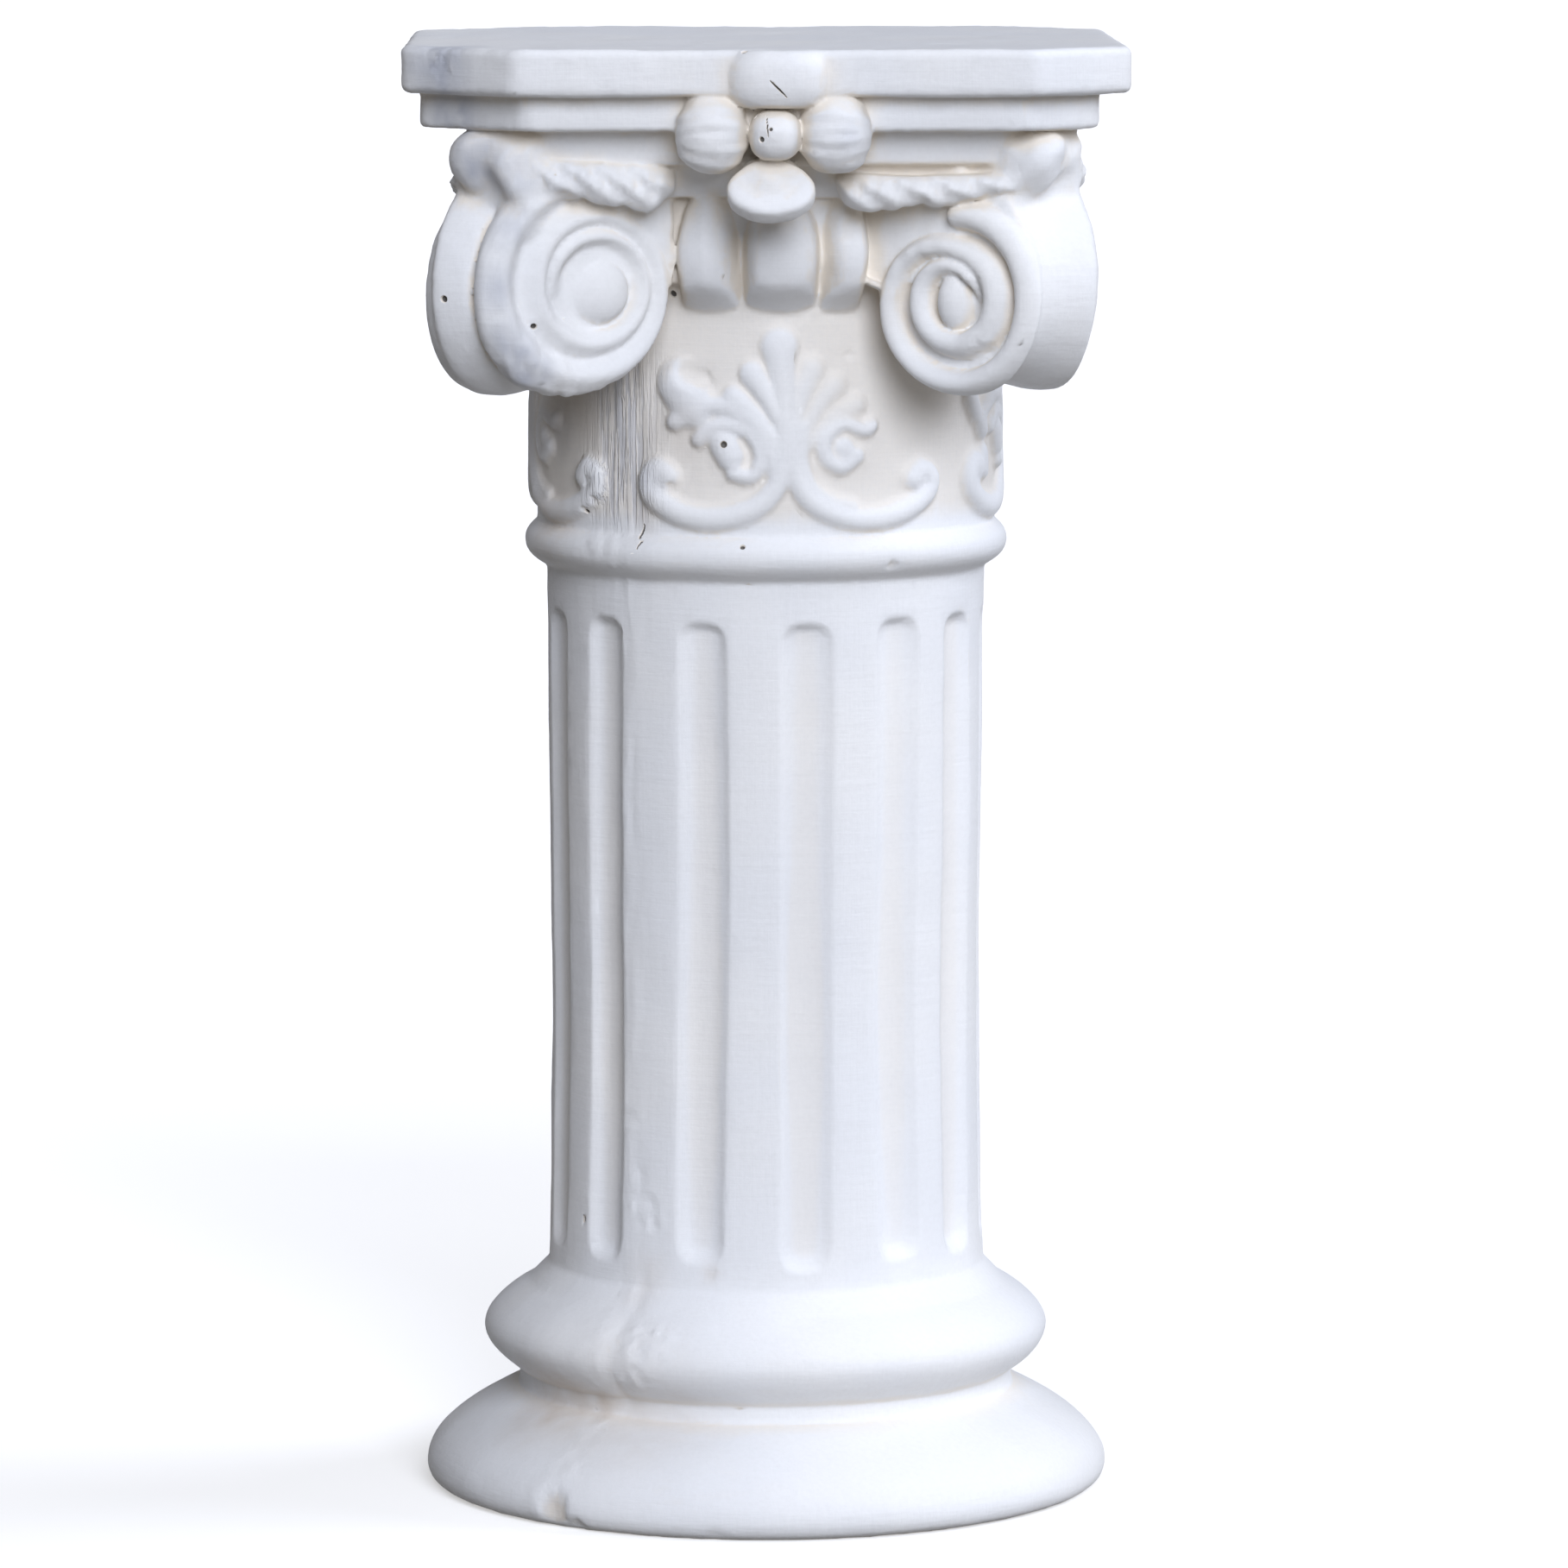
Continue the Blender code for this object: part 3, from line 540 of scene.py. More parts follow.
def volute(x, y, z, rim_depth):
    """The volute on the front-left corner. Its face to the front is plain and the other is sharp."""
    u = -(x + y) / math.sqrt(2)
    v = (x - y) / math.sqrt(2)
    cell = 0.7
    first_u, first_z = 60, 520
    grid_u = np.arange(first_u, 212, cell)
    grid_z = np.arange(first_z, 665, cell)
    plain = sampled(plain_face(grid_u, grid_z), first_u, first_z, cell, u, z)
    sharp = sampled(sharp_face(grid_u, grid_z), first_u, first_z, cell, u, z)
    relief = np.where(v > 0, plain, sharp)
    out = u - VOLUTE_CENTRE
    half = np.where(v > 0, PLAIN_HALF - PLAIN_FLARE * out, VOLUTE_HALF - VOLUTE_FLARE * out)
    scaled = np.hypot((u - VOLUTE_CENTRE) / VOLUTE_ALONG, (z - VOLUTE_HEIGHT) / VOLUTE_UP)
    rim = (scaled - 1) * VOLUTE_ALONG + rim_depth(v, half)
    spandrel = box_distance((u - 136.5, z - 620), (22.5, 33))
    face = np.abs(v) - half
    drum = common(np.minimum(rim, spandrel), face - relief, np.where(v > 0, 2.2, 5.0))
    inner = box_distance((u - 120, z - 620), (40, 32))
    inner = common(inner, face + 6, 3.0)
    top = box_distance((u - 140, v, z - 634), (38, 20, 18)) - 4
    return join(join(drum, inner, 2.0), top, 5.0)


def knobs(x, y, z, right_reach):
    """Two worn leaf ends on top of the front-left volute, running up into the corner of the steps."""
    u = -(x + y) / math.sqrt(2)
    v = (x - y) / math.sqrt(2)
    folds = 0.45 * np.sin(0.21 * v + 0.16 * z) + 0.25 * np.sin(0.36 * z - 0.24 * v + 1.0)
    left = pillow((u - 0.35 * (z - 644), v, z), (184.0, -10, 645), (10.5, 10.5, 13.0), 2.2)
    right = pillow((u, v + 0.25 * (z - 640), z), (right_reach, 15, 641), (11.0, 9.5, 16.0), 2.2)
    behind = pillow((u, v, z), (168, 2, 652), (19, 24, 14), 2.4)
    return join(join(left, right, 8.0), behind, 12.0) + folds


# The leaf bands of the front: x, how far out the front stands, and the heights of the lower and upper edge
LEFT_BAND = (
    (-114, 143, 637, 652),
    (-110, 146, 633, 650),
    (-99, 147, 630, 648),
    (-87, 148, 631, 647),
    (-78, 147, 627, 647),
    (-68, 146, 627, 646),
    (-57, 145, 623, 646),
    (-51, 143, 627, 645),
    (-44, 139, 633, 643),
)
RIGHT_BAND = (
    (30, 141, 637, 640),
    (34, 145, 628, 640.5),
    (42, 147, 624, 641),
    (58, 148, 625, 640),
    (69, 148, 628, 640),
    (79, 148, 626, 640.5),
    (97, 148, 630, 641),
    (110, 148, 632, 642),
    (119, 147, 635, 645),
    (127, 144, 638, 652),
)


def leaf_band(x, y, z, points, phase):
    """A ragged leaf hanging under the steps, with slanting folds over its front."""
    along, fronts, lows, highs = np.array(points, float).T
    low = np.interp(x, along, lows) - 0.9 * np.abs(np.sin(0.33 * x + phase))
    high = np.interp(x, along, highs)
    middle, half = (low + high) / 2, (high - low) / 2
    away = np.clip((z - middle) / half, -1, 1)
    folds = 1.2 * np.sin(0.36 * x + 0.5 * (z - middle) + phase)
    folds = folds + 0.7 * np.sin(0.83 * x - 0.2 * z + 2 * phase)
    front = np.interp(x, along, fronts) - 4.5 * away**2 + folds * (1 - 0.6 * away**2)
    ends = np.abs(x - (along[0] + along[-1]) / 2) - (along[-1] - along[0]) / 2
    return common(common((-y - front) * 0.8, np.abs(z - middle) - half, 2.5), ends, 3.0)


def turned_about_x(y, z, centre_y, centre_z, degrees):
    """Coordinates across and along an axis tilted up from -Y."""
    angle = math.radians(degrees)
    dy, dz = -(y - centre_y), z - centre_z
    return dy * math.cos(angle) + dz * math.sin(angle), -dy * math.sin(angle) + dz * math.cos(angle)


def flower(x, y, z):
    """Four petals round a button, in front of the abacus."""
    middle = 660.0
    top = pillow((x, y, z), (2.9, -161, middle + 26.5), (24.8, 19.8, 16.0), 2.7)
    field = common(common(top, middle + 12.8 - z, 2.0), z - HEIGHT + 0.8, 1.0)
    for side in (-1, 1):
        away = smooth(4, 16, np.hypot(x - 1.9, z - middle))
        bend = z - middle + 0.012 * (np.abs(x - 1.9) - 26) ** 2 * np.sign(z - middle)
        folds = 0.30 * np.sin(0.95 * bend + side) + 0.22 * np.sin(0.55 * bend + 0.12 * x + 2 * side)
        petal = pillow((x, y, z), (1.0 + 28.5 * side, -158, middle + 1), (16.8, 20.4, 19.2), 2.3)
        field = join(field, petal + folds * away, 1.0)
    out, up = turned_about_x(y, z, -168.0, middle - 25.5, 34)
    plate = (np.hypot(x / 20.3, up / 14.2) - 1) * 14.2
    cup = common(plate, np.abs(out + 1.5) - 5.5, 3.0)
    stalk = pillow((x, y, z), (0, -150, middle - 22), (16, 24, 12))
    field = join(field, join(cup, stalk, 3.0), 1.5)
    button = pillow((x, y, z), (1.9, -163.6, middle), (11.9, 17.0, 11.8), 2.5)
    return join(field, button, 0.6)


def tab(x, y, z):
    """A scrap of plaster left standing between the right lobe and its volute."""
    return pillow((x, y, z + 0.4 * (x - 50)), (50, -113, 588), (6.0, 9.0, 1.8), 3.0)


def window(axis, low, high):
    """The slice of an axis between two values."""
    return slice(int(np.searchsorted(axis, low)), int(np.searchsorted(axis, high)))


def put(field, axes, low, high, shape, blend):
    """Joins a shape to the field within a box."""
    cut = tuple(window(axis, a, b) for axis, a, b in zip(axes, low, high))
    x, y, z = (axis[part].astype(np.float32) for axis, part in zip(axes, cut))
    made = shape(x[:, None, None], y[None, :, None], z[None, None, :])
    field[cut] = join(field[cut], np.broadcast_to(made, field[cut].shape), blend)


# The box that each shape is put in, as two corners
VOLUTE_BOX = (-186, -186, 522), (-30, -30, 668)
KNOB_BOX = (-186, -186, 616), (-60, -60, 668)
LEFT_BAND_BOX = (-122, -170, 612), (-36, -112, 660)
RIGHT_BAND_BOX = (24, -170, 612), (134, -112, 660)
FLOWER_BOX = (-55, -187, 612), (55, -110, 704)
BACK_FLOWER_BOX = (-55, 110, 612), (55, 187, 704)
TAB_BOX = (36, -130, 578), (64, -100, 598)


def casting_field():
    """The distance to the whole casting, and the axes of its voxels."""
    half_count = int(HALF_SPAN / STEP)
    axis = np.arange(-half_count, half_count + 1) * STEP
    axis_z = np.arange(-FLOOR_MARGIN, HEIGHT + FLOOR_MARGIN, STEP)
    x, y = np.meshgrid(axis, axis, indexing="ij")
    field = turned_field(x.astype(np.float32), y.astype(np.float32), axis_z)
    field = np.maximum(field, (axis_z - BELL_TOP).astype(np.float32))
    axes = (axis, axis, axis_z)

    quarter = np.full(field.shape, 50.0, np.float32)
    seamed = quarter.copy()
    put(seamed, axes, *VOLUTE_BOX, lambda *p: volute(*p, crease), 2.0)
    put(quarter, axes, *VOLUTE_BOX, lambda *p: volute(*p, channel), 2.0)
    for shape, right_reach in ((seamed, 178.0), (quarter, 169.0)):
        lumps = lambda a, b, c: knobs(a, b, c, right_reach)
        put(shape, axes, *KNOB_BOX, lumps, 5.0)
        put(shape, axes, *LEFT_BAND_BOX, lambda *p: leaf_band(*p, LEFT_BAND, 0.4), 2.0)
        put(shape, axes, *RIGHT_BAND_BOX, lambda *p: leaf_band(*p, RIGHT_BAND, 1.7), 2.0)
    capital = window(axis_z, 520, 672)
    for side, shape in enumerate((seamed, quarter, quarter, quarter)):
        turned = np.rot90(shape[:, :, capital], side, (0, 1))
        field[:, :, capital] = join(field[:, :, capital], turned, 1.5)
    del quarter, seamed

    everywhere = (-HALF_SPAN, -HALF_SPAN), (HALF_SPAN, HALF_SPAN)
    slabs = (
        (SOFFIT_SIDES, SOFFIT_HALF, SOFFIT_FOOT, LOWER_FOOT + 3, SOFFIT_TAPER, 1.0, 40.0),
        (LOWER_SIDES, LOWER_HALF, LOWER_FOOT, MIDDLE_FOOT + 2, LOWER_TAPER, 2.2, CORNER_CUT - 16),
        (MIDDLE_SIDES, MIDDLE_HALF, MIDDLE_FOOT, ABACUS_FOOT + 2, 0.0, 2.6, CORNER_CUT - 7),
        (ABACUS_SIDES, ABACUS_HALF, ABACUS_FOOT, HEIGHT - 0.4, 0.0, 3.8, CORNER_CUT),
    )
    for sides, half, foot, top, taper, rounding, cut in slabs:
        low, high = (*everywhere[0], foot - 6), (*everywhere[1], top + 6)
        shape = lambda a, b, c: slab(a, b, c, sides, half, cut, foot, top, taper, rounding, 4.0)
        put(field, axes, low, high, shape, 1.2)
    put(field, axes, *FLOWER_BOX, flower, 1.0)
    put(field, axes, *TAB_BOX, tab, 0.8)
    put(field, axes, *BACK_FLOWER_BOX, lambda a, b, c: flower(-a, -b, c), 1.0)
    underside = -(axis_z - 0.15).astype(np.float32)
    return common(field, underside[None, None, :], 0.6), axes


def surface(field, axes):
    """The field's surface as points and quads, in millimetres."""
    band = 3 * STEP
    grid = openvdb.FloatGrid(band)
    grid.transform = openvdb.createLinearTransform(STEP)
    grid.copyFromArray(np.clip(field, -band, band).astype(np.float32), tolerance=1e-4)
    points, triangles, quads = grid.convertToPolygons(isovalue=0.0, adaptivity=0.0)
    points = points + np.array([axis[0] for axis in axes])
    return points, triangles, quads


def quick_mesh(name, points, triangles, quads):
    """A mesh from arrays of points and faces."""
    mesh = bpy.data.meshes.new(name)
    mesh.vertices.add(len(points))
    mesh.vertices.foreach_set("co", points.astype(np.float32).ravel())
    corners = np.concatenate([triangles.ravel(), quads.ravel()])
    sizes = np.concatenate([np.full(len(triangles), 3), np.full(len(quads), 4)])
    mesh.loops.add(corners.size)
    mesh.loops.foreach_set("vertex_index", corners.astype(np.int32))
    mesh.polygons.add(sizes.size)
    mesh.polygons.foreach_set("loop_start", (np.cumsum(sizes) - sizes).astype(np.int32))
    mesh.update(calc_edges=True)
    mesh.validate()
    return mesh


def points_of(mesh):
    points = np.empty(len(mesh.vertices) * 3, np.float32)
    mesh.vertices.foreach_get("co", points)
    return points.reshape(-1, 3)


def normals_of(mesh):
    normals = np.empty(len(mesh.vertices) * 3, np.float32)
    mesh.vertex_normals.foreach_get("vector", normals)
    return normals.reshape(-1, 3)


def signed_volume(points, mesh):
    """Six times the enclosed volume, negative where the faces look inwards."""
    mesh.calc_loop_triangles()
    corners = np.empty(len(mesh.loop_triangles) * 3, np.int32)
    mesh.loop_triangles.foreach_get("vertices", corners)
    a, b, c = (points[corners.reshape(-1, 3)[:, i]].astype(float) for i in range(3))
    return float(np.einsum("ij,ij->i", a, np.cross(b, c)).sum())


# Dents and broken spots: the place, how wide, and how deep
DENTS = (
    ((-100, -126, 9), 12, 5),
    ((-91, -132, 3), 8, 3.6),
    ((-57, -88, 150), 6, 0.9),
    ((-55, -89, 139), 5, 0.8),
    ((-61, -85, 162), 5, 0.8),
    ((-68, -79, 190), 5, 0.8),
    ((-26, -160, 0), 9, 1.2),
    ((-61.6, -98.9, 474.5), 4, 3),
    ((-62.5, -98.9, 466.5), 3.2, 2),
    ((59.3, -100, 453.5), 5, 2.4),
    ((-45.5, -110, 583), 3.4, 4.5),
    ((-95.5, -147, 628.5), 8, 3.5),
    ((-88.5, -72.5, 478), 3.6, 2.6),
    ((-82.2, -76.6, 484.5), 3.4, 2.4),
    ((-46.2, -104.2, 492), 4.6, 2.6),
    ((37.3, -102.7, 554.5), 3.2, 1.3),
    ((-157, -128, 697), 5, 1.8),
    ((-150, -134, 689), 4, 1.6),
)

# Rough patches: the place, how wide, and how rough
ROUGH_PATCHES = (
    ((97, -141, 562), 14, 1.1),
    ((67, -135, 604), 12, 0.9),
    ((-148, -137, 694), 16, 1),
    ((-120, -156, 575), 15, 0.5),
    ((-113, -148, 552), 11, 0.35),
    ((-86, -80, 465), 16, 0.8),
    ((-59, -117, 88), 24, 0.8),
    ((-66, -116, 68), 18, 0.6),
    ((-59, -86, 145), 20, 0.6),
    ((-65, -81, 182), 16, 0.5),
    ((-27, -99, 117), 7, 1.3),
    ((-101, -122, 12), 16, 1.3),
    ((-119, -134, 643), 14, 0.9),
    ((132, -134, 645), 13, 0.8),
    ((0, -180, 661), 8, 0.45),
)


def near(points, place, width):
    """1 at the place, falling to 0 at the width."""
    gap = np.linalg.norm(points - np.array(place, np.float32), axis=1) / width
    return 1 - smooth(0, 1, gap)


def unevenness(points):
    """How far each point stands out of the true shape: hand-worked plaster, with a rough seam."""
    x, y, z = points.T
    theta = np.degrees(np.arctan2(x, -y))
    shift = 0.42 * noise(points, 46.0, 1) + 0.24 * noise(points, 19.0, 2) + 0.08 * noise(points, 7.0, 3)
    neck = smooth(RELIEF_FOOT, RELIEF_FOOT + 12, z) * smooth(SEAM_TOP, SEAM_TOP - 15, z)
    width = 3.6 + 5.0 * neck
    seam = np.exp(-(((theta - SEAM_ANGLE) / width) ** 2)) * (z < SEAM_TOP) * (0.55 + 0.55 * neck)
    streaks = noise(points, (5.0, 5.0, 34.0), 4) + 0.7 * noise(points, (2.8, 2.8, 15.0), 5)
    shift += seam * (0.25 + 0.75 * streaks)
    fold = np.exp(-(((theta - FOLD_ANGLE) / 2.2) ** 2)) * smooth(45, 60, z) * smooth(120, 100, z)
    shift -= 0.9 * fold
    shift += 0.22 * smooth(560, 600, z) * noise(points, 4.5, 7)
    grain = noise(points, 3.4, 8) + 0.6 * noise(points, (3.0, 3.0, 9.0), 9)
    for place, reach, amount in ROUGH_PATCHES:
        shift += amount * near(points, place, reach) * grain
    for place, reach, depth in DENTS:
        shift -= depth * near(points, place, reach) * (0.8 + 0.2 * grain)
    return shift


# Air pits as (x, y, z), how wide and how deep. Each lies on the nearest surface that shows from the front
PITS = (
    ((-151.9, -130, 582.8), 1.7, 3),
    ((-110, -147, 570.6), 1.5, 2.8),
    ((-12.7, -115.4, 465.1), 1.3, 2.4),
    ((-90.7, -58.4, 136.3), 1.8, 2.8),
    ((-12.3, -171.8, 698.5), 1.5, 2.2),
    ((-21.6, -111.6, 513.1), 1.7, 2.6),
    ((-4.9, -179.9, 658.6), 1.4, 1.8),
    ((-7.2, -176.9, 669.4), 1.6, 2),
    ((-0.5, -180, 663.5), 0.9, 1.2),
    ((-44.9, -111.2, 583.1), 1.8, 3),
    ((-86, -77, 478), 1.4, 2.2),
)

# Cracks as their ends, how wide and how deep
CRACKS = (
    ((-0.8, -180, 685.8), (7, -180, 678), 0.5, 1.6),
    ((-2.3, -180, 670.8), (-1.9, -180, 660), 0.4, 1.4),
    ((-58.5, -100, 474), (-62, -99, 462.5), 0.7, 1.2),
)
CRACK_SPACING = 0.35
# How far a pit's share lifts the hollow mark, past 1, into the dark painted shade of the pits
PIT_HOLLOW = 3.0

# How the faces round a pit are cut finer: how far beyond its edge, and the longest edge left
PIT_PASSES = ((3.6, 1.6), (2.2, 1.0), (1.1, 0.6), (0.5, 0.36))

# How strong the painted shade, a cream, is on the neck's ground and in the flutes
NECK_SHADE = 0.42
FLUTE_SHADE = 0.30
FLUTE_SHADE_TOP = 440.0

# The scratches beside the seam on the neck, in degrees
SCRATCH_ANGLE = -39.0
SCRATCH_WIDTH = 9.0

# Brown grime, also painted shade in the left scotia and under the left volute, and grey painted shade, as
# the place, how wide and how strong
GRIME_AND_SHADE = (
    ((-96, -72, 48), 46, 0.75),
    ((-78, -92, 52), 18, 0.9),
    ((-60, -104, 52), 60, 0.35),
    ((-62, -92, 112), 22, 0.3),
    ((-27, -99, 117), 8, 0.6),
    ((-100, -124, 9), 11, 0.5),
    ((-96, -60, 536), 44, 0.55),
    ((-100, -44, 470), 30, 0.5),
    ((-62, -98, 478), 16, 0.5),
    ((-45, -110, 584), 9, 0.9),
    ((58, -108, 575), 26, 0.45),
    ((-95, -146, 627), 10, 0.6),
    ((-44, -100, 516), 30, 0.25),
)
# Grey painted shade: on the abacus's left chamfer, beside the left knobs, on the volutes' rolls, on the
# neck's left side and beside the flower
GREY_SHADE = (
    ((-151, -133, 690), 30, 0.9),
    ((-146, -128, 668), 24, 0.9),
    ((-133, -133, 645), 24, 0.75),
    ((-119, -142, 640), 16, 0.6),
    ((-113, -146, 548), 20, 0.8),
    ((-119, -154, 560), 22, 0.85),
    ((-125, -160, 588), 20, 0.7),
    ((-119, -154, 617), 18, 0.5),
    ((110, -142, 586), 16, 0.45),
    ((-92, -80, 540), 26, 0.45),
    ((-100, -52, 520), 24, 0.4),
    ((38, -180, 660), 13, 0.35),
    ((-60, -104, 497), 14, 0.3),
)


def all_pits():
    """The pits, with each crack as a row of them."""
    pits = list(PITS)
    for start, end, width, depth in CRACKS:
        start, end = np.array(start), np.array(end)
        count = int(np.linalg.norm(end - start) / CRACK_SPACING) + 2
        for share in np.linspace(0, 1, count):
            fade = 0.45 + 0.55 * math.sin(math.pi * share)
            pits.append((tuple(start + (end - start) * share), width * fade, depth * fade))
    return pits


def placed(points, normals, pits):
    """The pits moved to the mesh's nearest point facing the front."""
    facing = np.flatnonzero(normals[:, 1] < -0.15)
    found = []
    for place, width, depth in pits:
        gap = (points[facing] - np.array(place)) * (1.0, 0.12, 1.0)
        nearest = facing[np.argmin((gap**2).sum(axis=1))]
        found.append((np.array((place[0], points[nearest, 1], place[2])), normals[nearest], width, depth))
    return found


def pit_share(points, centre, normal, width):
    """How far down a pit each point lies, from 0 at its edge to 1."""
    away = points - centre
    along = away @ normal
    across = np.sqrt(np.maximum((away**2).sum(axis=1) - along**2, 0))
    share = np.clip(1 - (across / width) ** 2, 0, 1) ** 0.5
    return np.where(np.abs(along) < 4.0, share, 0.0)


def pitted(mesh):
    """Sinks the pits and cracks into the mesh, with finer faces round each. Gives each point's share."""
    pits = placed(points_of(mesh), normals_of(mesh), all_pits())
    bm = bmesh.new()
    bm.from_mesh(mesh)
    for beyond, longest in PIT_PASSES:
        bm.verts.index_update()
        bm.verts.ensure_lookup_table()
        points = np.array([vert.co for vert in bm.verts])
        close = np.zeros(len(points), bool)
        for centre, _, width, _ in pits:
            close |= ((points - centre) ** 2).sum(axis=1) < (width + beyond) ** 2
        touched = [edge for index in np.flatnonzero(close) for edge in bm.verts[index].link_edges]
        edges = [edge for edge in dict.fromkeys(touched) if edge.calc_length() > longest]
        bmesh.ops.subdivide_edges(bm, edges=edges, cuts=1)
        bmesh.ops.triangulate(bm, faces=[face for face in bm.faces if len(face.verts) > 3])
    bm.to_mesh(mesh)
    bm.free()
    points = points_of(mesh).astype(float)
    deep, sink = np.zeros(len(points)), np.zeros(len(points))
    inwards = np.zeros_like(points)
    for centre, normal, width, depth in pits:
        share = pit_share(points, centre, normal, width)
        deeper = share * depth > sink
        sink[deeper] = (share * depth)[deeper]
        inwards[deeper] = -normal
        deep = np.maximum(deep, share)
    points += sink[:, None] * inwards
    mesh.vertices.foreach_set("co", points.astype(np.float32).ravel())
    mesh.update()
    return deep


# How far from the surface the space is measured, and the share of each distance
SHUT_IN = ((2.5, 0.30), (6.0, 0.30), (14.0, 0.25), (30.0, 0.15))


def hollows(field, axes, points, normals):
    """How shut in each point is, from 0 in the open to 1 in a deep hollow."""
    total = np.zeros(len(points), np.float32)
    for reach, weight in SHUT_IN:
        place = points + normals * reach
        cells = [np.round((place[:, i] - axes[i][0]) / STEP).astype(int) for i in range(3)]
        index = [np.clip(cell, 0, size - 1) for cell, size in zip(cells, field.shape)]
        room = np.clip(field[tuple(index)] / reach, 0, 1)
        total += weight * (1 - room)
    return total


def marked(points, places):
    """How strong the marks are at each point, with ragged edges."""
    total = np.zeros(len(points))
    for place, reach, amount in places:
        total = np.maximum(total, amount * near(points, place, reach))
    ragged = 1 + 0.45 * noise(points, 6.0, 11) + 0.35 * noise(points, (3.0, 3.0, 6.0), 12)
    return np.clip(total * ragged, 0, 1)


def thinned(obj, most):
    """The object's mesh with no more triangles than stated."""
    mesh = obj.data
    mesh.calc_loop_triangles()
    modifier = obj.modifiers.new("thin", "DECIMATE")
    modifier.ratio = min(1.0, most / len(mesh.loop_triangles))
    modifier.use_collapse_triangulate = True
    evaluated = obj.evaluated_get(bpy.context.evaluated_depsgraph_get())
    result = bpy.data.meshes.new_from_object(evaluated)
    obj.modifiers.clear()
    obj.data = result
    bpy.data.meshes.remove(mesh)


def casting():
    """The pedestal's surface as one mesh."""
    field, axes = casting_field()
    points, triangles, quads = surface(field, axes)
    mesh = quick_mesh("pedestal_casting", points, triangles, quads)
    if signed_volume(points, mesh) < 0:
        mesh.flip_normals()
    normals = normals_of(mesh)
    shift = unevenness(points.astype(np.float32))
    shift *= smooth(0.0, 4.0, points[:, 2])
    points = points + normals * shift[:, None]
    mesh.vertices.foreach_set("co", points.astype(np.float32).ravel())
    obj = bpy.data.objects.new("pedestal_casting", mesh)
    bpy.context.scene.collection.objects.link(obj)
    thinned(obj, MOST_TRIANGLES)
    mesh = obj.data
    mesh.name = "pedestal_casting"
    # Painted shade in the pits and cracks: their share, lifted past 1, turns them dark
    pits = PIT_HOLLOW * pitted(mesh)
    points = points_of(mesh)
    # Painted shade: a cream where a point is shut in by the surface round it
    hollow = np.maximum(pits, hollows(field, axes, points, normals_of(mesh)))
    x, y, z = points.T
    radius = np.hypot(x, y)
    # Painted shade, a cream, on the flute floors and on the neck's ground
    groove = smooth(SHAFT_WAIST_RADIUS, SHAFT_WAIST_RADIUS - 4.0, radius)
    groove = groove * smooth(FLUTE_FOOT - 5, FLUTE_FOOT + 5, z) * (z < FLUTE_SHADE_TOP)
    hollow = np.maximum(hollow, FLUTE_SHADE * groove)
    ground = smooth(RELIEF_RADIUS + 3.5, RELIEF_RADIUS, radius)
    hollow = np.maximum(hollow, NECK_SHADE * ground * smooth(468, 482, z) * smooth(640, 610, z))
    turn = (np.degrees(np.arctan2(x, -y)) - SCRATCH_ANGLE) / SCRATCH_WIDTH
    scratch = np.exp(-(turn**2)) * smooth(464, 486, z) * smooth(570, 545, z) * smooth(124, 116, radius)
    marks = {"hollow": hollow, "scratch": scratch}
    # Grey painted shade, and brown grime that is also painted shade in the left scotia and under the left
    # volute
    marks |= {"grey_shade": marked(points, GREY_SHADE), "grime_and_shade": marked(points, GRIME_AND_SHADE)}
    for name, values in marks.items():
        attribute = mesh.attributes.new(name, "FLOAT", "POINT")
        attribute.data.foreach_set("value", values.astype(np.float32))
    centre = Vector(((LOW.x + HIGH.x) / 2, (LOW.y + HIGH.y) / 2, LOW.z))
    points = points * TO_METRES + np.array(centre, np.float32)
    points = np.clip(points, np.array(LOW) + 1e-5, np.array(HIGH) - 1e-5)
    points[points[:, 2] < LOW.z + FLOOR_SNAP, 2] = LOW.z
    mesh.vertices.foreach_set("co", points.astype(np.float32).ravel())
    mesh.shade_smooth()
    mesh.update()
    return obj


# Material

COOL_WHITE = (0.79, 0.80, 0.82, 1)
WHITE = (0.83, 0.83, 0.83, 1)
# Painted shade: the cream laid in hollows, in the flutes and on the neck's ground
SHADE_CREAM = (0.80, 0.735, 0.64, 1)
GRAIN_GREY = (0.70, 0.70, 0.70, 1)
# Brown grime at chips, and painted shade in the left scotia and under the left volute
GRIME_AND_SHADE_COLOUR = (0.62, 0.56, 0.50, 1)
# Grey painted shade, and the grey of the scratches
SHADE_AND_SCRATCH_GREY = (0.50, 0.52, 0.58, 1)
# Painted shade in the pits and cracks
PIT_SHADE = (0.10, 0.095, 0.09, 1)


def new_node(tree, kind, **settings):
    node = tree.nodes.new(kind)
    for name, value in settings.items():
        setattr(node, name, value)
    return node


def scaled_noise(tree, coordinates, scale, stretch, detail, roughness):
    """A noise texture whose coordinates are stretched along the axes. Its scale is in features a metre."""
    mapping = new_node(tree, "ShaderNodeMapping")
    mapping.inputs["Scale"].default_value = stretch
    tree.links.new(coordinates, mapping.inputs["Vector"])
    texture = new_node(tree, "ShaderNodeTexNoise")
    texture.inputs["Scale"].default_value = scale
    texture.inputs["Detail"].default_value = detail
    texture.inputs["Roughness"].default_value = roughness
    tree.links.new(mapping.outputs["Vector"], texture.inputs["Vector"])
    return texture.outputs["Fac"]


